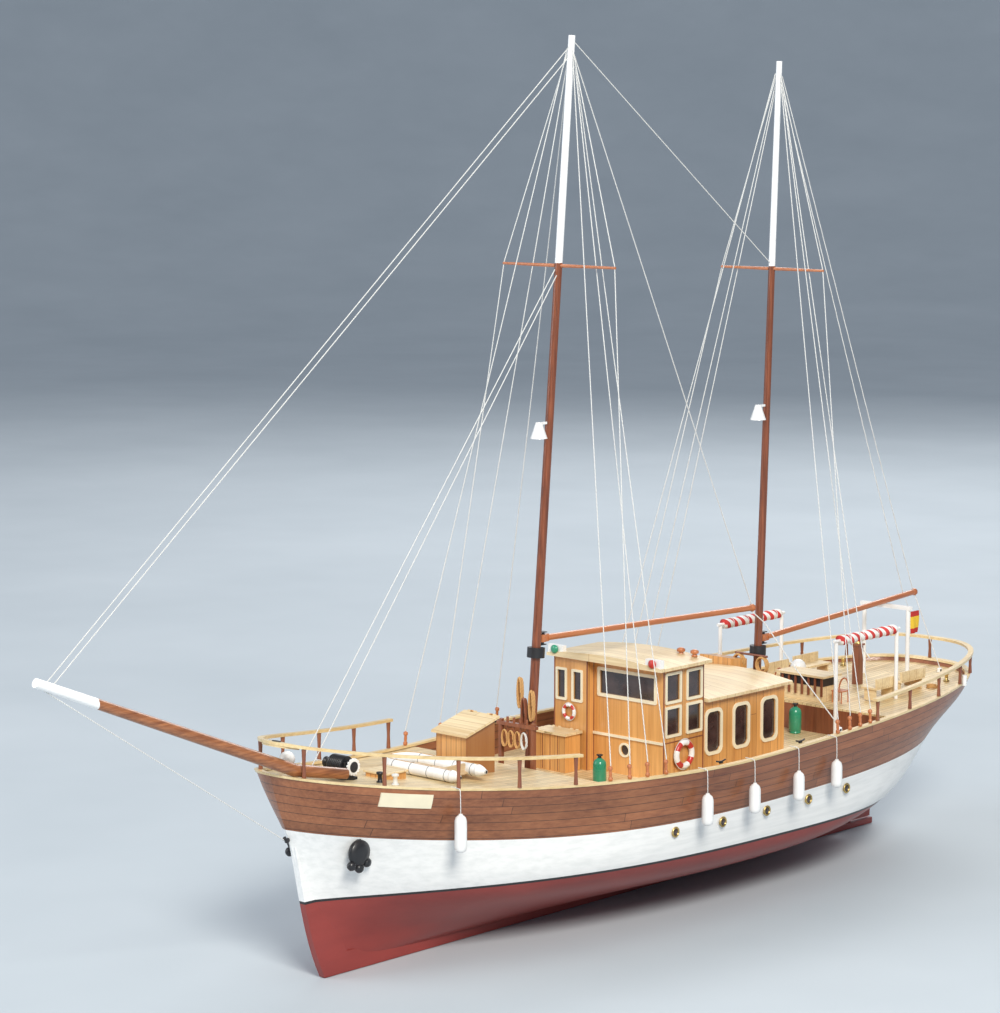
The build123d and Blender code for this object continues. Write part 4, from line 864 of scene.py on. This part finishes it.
def foredeck_gear():
    """A ball on a short post, bollards, cleats on the capping and a small hatch."""
    deck = sheer(-0.318) - 0.0005
    ball = [(0.0016, 0), (0.0014, 0.0070)]
    for i in range(-7, 8):
        a = math.pi * i / 16
        ball.append((0.0052 * math.cos(a), 0.0122 + 0.0052 * math.sin(a)))
    lathe("mooring_ball", (-0.006, -0.324, deck), (0, 0, 1), ball, "white", "hull")
    for index, (x, y) in enumerate(((0.030, -0.262), (-0.030, -0.262), (0.020, -0.266), (-0.020, -0.266))):
        deck = sheer(y) - 0.0006
        post = [(0.0026, 0), (0.0026, 0.0006), (0.0015, 0.0012), (0.0014, 0.0052), (0.0024, 0.0058),
                (0.0024, 0.0070), (0.0010, 0.0074)]
        look = "white" if x > 0.025 else "black"
        lathe(f"bollard_{index + 1}", (x, y, deck), (0, 0, 1), post, look, "hull", 20)
    for index, (x, y) in enumerate(((0.106, -0.020), (-0.106, -0.020), (0.106, 0.070), (-0.106, 0.070))):
        z = sheer(y) + 0.0016
        base = [(x - 0.0008, y - 0.0016, z), (x + 0.0008, y + 0.0016, z + 0.0012)]
        block(f"cap_cleat_base_{index + 1}", base[0], base[1], "black", "hull")
        line(f"cap_cleat_{index + 1}", [(x, y - 0.0048, z + 0.0022), (x, y - 0.0018, z + 0.0015),
                                        (x, y + 0.0018, z + 0.0015), (x, y + 0.0048, z + 0.0022)], 0.0006,
             "black", "hull")
    z = sheer(-0.240)
    block("foredeck_hatch_coaming", (-0.0095, -0.2500, z - 0.002), (0.0095, -0.2310, z + 0.0034),
          "box_wall", "hull")
    block("foredeck_hatch_top", (-0.0108, -0.2512, z + 0.0034), (0.0108, -0.2298, z + 0.0048), "roof",
          "hull")


def bow_plate():
    """The broad front piece of the bow rail, with its round fairlead."""
    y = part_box("rail_caps")[0][1]
    top = sheer(y + 0.004) + 0.0224
    outline = []
    for i in range(25):
        a = math.pi * (i / 24 - 0.5)
        outline.append((0.0152 * math.sin(a), y + 0.0152 * (1 - math.cos(a)) * 0.75))
    verts, faces = [], []
    for z in (top - 0.0026, top + 0.0004):
        for x, yy in outline:
            verts.append((x, yy + 0.0006, z - (yy - y) * 0.19))
    n = len(outline)
    faces += [(i, (i + 1) % n, n + (i + 1) % n, n + i) for i in range(n)]
    faces += [tuple(range(n - 1, -1, -1)), tuple(range(n, 2 * n))]
    piece("bow_rail_plate", verts, faces, "cap", "hull", smooth=False)
    eye = [(0.0030, 0), (0.0031, 0.0004), (0.0020, 0.0005)]
    lathe("bow_fairlead", (0, y + 0.0066, top - 0.0004), (0, 0.18, 1), eye, "black", "hull", 24)


def table_set():
    """A black block painted as the shade under the table top, slats under it, and two bentwood chairs."""
    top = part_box("aft_deck_furniture")[1][2]
    y0, y1 = 0.208, 0.231
    # painted shade: a black block inside the table stands for the shadow under its top
    under_table_shade = [(-0.0204, y0 + 0.0026, top - 0.0085), (0.0204, y1 - 0.0026, top - 0.0018)]
    block("table_painted_shade", under_table_shade[0], under_table_shade[1], "black", "hull")
    for index in range(7):
        x = -0.0185 + 0.0062 * index
        slat = [(x, y0 + 0.0016, top - 0.0160), (x + 0.0018, y0 + 0.0027, top - 0.0018)]
        block(f"table_slat_{index + 1}", slat[0], slat[1], "brown", "hull", 0.0002)
    for index, x in enumerate((-0.032, 0.030)):
        deck = sheer(0.222) - 0.003
        seat = deck + 0.0085
        block(f"chair_seat_{index + 1}", (x - 0.0050, 0.2150, seat), (x + 0.0050, 0.2250, seat + 0.0010),
              "boom", "hull")
        for leg in range(4):
            lx, ly = x + (0.0042 if leg % 2 else -0.0042), 0.2158 + (0.0084 if leg > 1 else 0)
            ends = [(lx, ly, deck), (lx, ly, seat)]
            line(f"chair_leg_{index + 1}_{leg + 1}", ends, 0.0005, "boom", "hull")
        hoop = []
        for step in range(13):
            a = math.pi * step / 12
            rise = math.sin(a)
            hoop.append((x + 0.0046 * math.cos(a), 0.2244 + 0.001 * rise, seat + 0.0095 * rise))
        line(f"chair_back_{index + 1}", hoop, 0.0006, "boom", "hull", rounded=True)


def stern_gear():
    """Dome ventilator, compass bowl, mooring posts and coils at the stern."""
    deck = sheer(0.262) - 0.003
    dome = [(0.0050, 0), (0.0052, 0.0012), (0.0040, 0.0016), (0.0060, 0.0024), (0.0062, 0.0046),
            (0.0050, 0.0072), (0.0028, 0.0090), (0.0006, 0.0096)]
    lathe("dome_ventilator", (-0.030, 0.246, deck + 0.012), (0, 0, 1), dome, "white", "hull")
    trunk = [(0.0048, 0), (0.0048, 0.0133)]
    lathe("ventilator_trunk", (-0.030, 0.246, deck - 0.001), (0, 0, 1), trunk, "boom", "hull")
    low, high = corners("helm_pedestal")
    middle = (low + high) / 2
    lathe("compass_bowl", (middle.x, middle.y, high.z - 0.0002), (0, 0, 1),
          [(0.0030, 0), (0.0031, 0.0009), (0.0026, 0.0012), (0.0026, 0.0020), (0.0014, 0.0030),
           (0.0004, 0.0034)], "brass", "hull", 24)
    for index, (x, y) in enumerate(((0.050, 0.332), (-0.050, 0.332))):
        z = sheer(y) - 0.0028
        post = [(0.0024, 0), (0.0024, 0.0006), (0.0014, 0.0010), (0.0014, 0.0050), (0.0022, 0.0056),
                (0.0008, 0.0064)]
        lathe(f"mooring_post_{index + 1}", (x, y, z), (0, 0, 1), post, "brass", "hull", 18)
    for index, x in enumerate((0.0336, 0.0546)):
        place = (x, 0.306, sheer(0.306) - 0.0018)
        coil(f"deck_coil_{index + 1}", place, "Z", 0.0040, 3, 0.0006, "rope")


def roof_gear():
    """Two small ventilators on the after edge of the wheelhouse roof."""
    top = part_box("wheelhouse_roof")[1][2]
    for index, (x, y) in enumerate(((0.0297, 0.0290), (0.0421, 0.0290))):
        knob = [(0.0020, 0), (0.0021, 0.0012), (0.0012, 0.0018), (0.0030, 0.0026), (0.0030, 0.0042),
                (0.0012, 0.0052)]
        lathe(f"roof_ventilator_{index + 1}", (x, y, top - 0.0022), (0, 0, 1), knob, "boom", "hull", 22)


def edge_strips():
    """Thin dark mouldings at the wheelhouse's corners and along its seam."""
    seam, foot, head = 0.1172, 0.0905, 0.1697
    for side in (-1, 1):
        x = side * 0.0481
        line(f"seam_strip_{side + 2}", [(x, -0.012, seam), (x, 0.0318, seam)], 0.0004, "brown", "hull")
        for index, y in enumerate((-0.0119, 0.0318)):
            name = f"corner_strip_{side + 2}_{index + 1}"
            line(name, [(x, y, foot), (x, y, head)], 0.00055, "brown", "hull")
    strips = {"front_corner_strip": (-0.0172, -0.0121), "bay_corner_strip": (-0.0480, -0.0193),
              "bay_corner_strip_2": (-0.0170, -0.0193)}
    for name, (x, y) in strips.items():
        line(name, [(x, y, foot), (x, y, head)], 0.0005, "brown", "hull")


def door_lines():
    """Panel grooves on the deck locker and a handle on its lid."""
    low, high = corners("deck_locker")
    for index in range(3):
        x = low.x + (high.x - low.x) * (index + 1) / 4
        y = low.y - 0.00005
        ends = [(x, y, low.z + 0.001), (x, y, high.z - 0.001)]
        line(f"locker_groove_{index + 1}", ends, 0.00025, "brown", "hull")
    lid_low, lid_high = corners("locker_lid")
    middle = (lid_low + lid_high) / 2
    left, right = middle.x - 0.003, middle.x + 0.003
    wall, grip = lid_low.y + 0.0001, lid_low.y - 0.0010
    bar = [(left, wall, middle.z), (left, grip, middle.z), (right, grip, middle.z), (right, wall, middle.z)]
    line("locker_handle", bar, 0.0003, "brass", "locker_hatch")


# ---------------------------------------------------------------- surroundings
def stage():
    """A pale floor that turns up into a low wall all round, so that no horizon shows."""
    profile = [(2.5 * i, -0.0005) for i in range(3)]
    for i in range(1, 13):
        a = math.radians(5 * i)
        profile.append((5.0 + 5.0 * math.sin(a), 5.0 * (1 - math.cos(a)) - 0.0005))
    around = 96
    verts = [(0, 0, -0.0005)]
    for radius, height in profile[1:]:
        for i in range(around):
            a = 2 * math.pi * i / around
            verts.append((radius * math.cos(a), radius * math.sin(a), height))
    faces = [(0, 1 + i, 1 + (i + 1) % around) for i in range(around)]
    for row in range(len(profile) - 2):
        for i in range(around):
            near, far = 1 + row * around, 1 + (row + 1) * around
            faces.append((near + i, far + i, far + (i + 1) % around, near + (i + 1) % around))
    mesh = bpy.data.meshes.new("floor")
    mesh.from_pydata(verts, [], faces)
    mesh.polygons.foreach_set("use_smooth", [True] * len(faces))
    floor = bpy.data.objects.new("floor", mesh)
    bpy.context.scene.collection.objects.link(floor)
    shade = Shade("floor_paper", 0.85)
    mottle = shade.noise((3.0, 3.0, 3.0), 3.0)
    shade.colour(shade.ramp(mottle, [(0.3, (0.50, 0.56, 0.61)), (0.7, (0.55, 0.61, 0.66))]))
    mesh.materials.append(shade.material)


def area_light(name, place, target, size, power, colour):
    data = bpy.data.lights.new(name, "AREA")
    data.size = size
    data.energy = power
    data.color = colour
    obj = bpy.data.objects.new(name, data)
    obj.location = place
    obj.rotation_euler = (Vector(target) - Vector(place)).to_track_quat("-Z", "Y").to_euler()
    bpy.context.scene.collection.objects.link(obj)


def lights():
    area_light("key", (2.2, -1.6, 2.1), (0, 0, 0.12), 1.0, 104.0, (1.0, 0.96, 0.88))
    area_light("fill", (-1.6, -2.2, 1.3), (0, 0, 0.15), 1.8, 30.0, (0.93, 0.96, 1.0))
    area_light("back", (-1.2, 2.2, 2.0), (0, 0, 0.15), 1.6, 40.0, (1.0, 0.98, 0.95))
    world = bpy.data.worlds.new("studio")
    world.use_nodes = True
    background = world.node_tree.nodes["Background"]
    background.inputs["Color"].default_value = (0.46, 0.50, 0.56, 1)
    background.inputs["Strength"].default_value = 0.75
    bpy.context.scene.world = world
    bpy.context.scene.view_settings.view_transform = "Standard"


def camera():
    azimuth, pitch = math.radians(42.7), math.radians(7.33)
    data = bpy.data.cameras.new("camera")
    data.sensor_fit = "HORIZONTAL"
    data.sensor_width = 36.0
    data.lens = 111.6
    data.clip_start = 0.01
    obj = bpy.data.objects.new("camera", data)
    obj.location = (1.4149, -1.6628, 0.5610)
    obj.rotation_euler = (math.radians(90) - pitch, 0, azimuth)
    bpy.context.scene.collection.objects.link(obj)
    bpy.context.scene.camera = obj


dress_frame()
fenders()
life_rings()
gas_bottles()
porthole_glass()
rigging_fittings()
sheets()
flag()
awnings()
dinghy()
lamps()
mast_gear()
windlass_gear()
anchors()
foredeck_gear()
bow_plate()
table_set()
stern_gear()
roof_gear()
edge_strips()
door_lines()
stage()
lights()
camera()
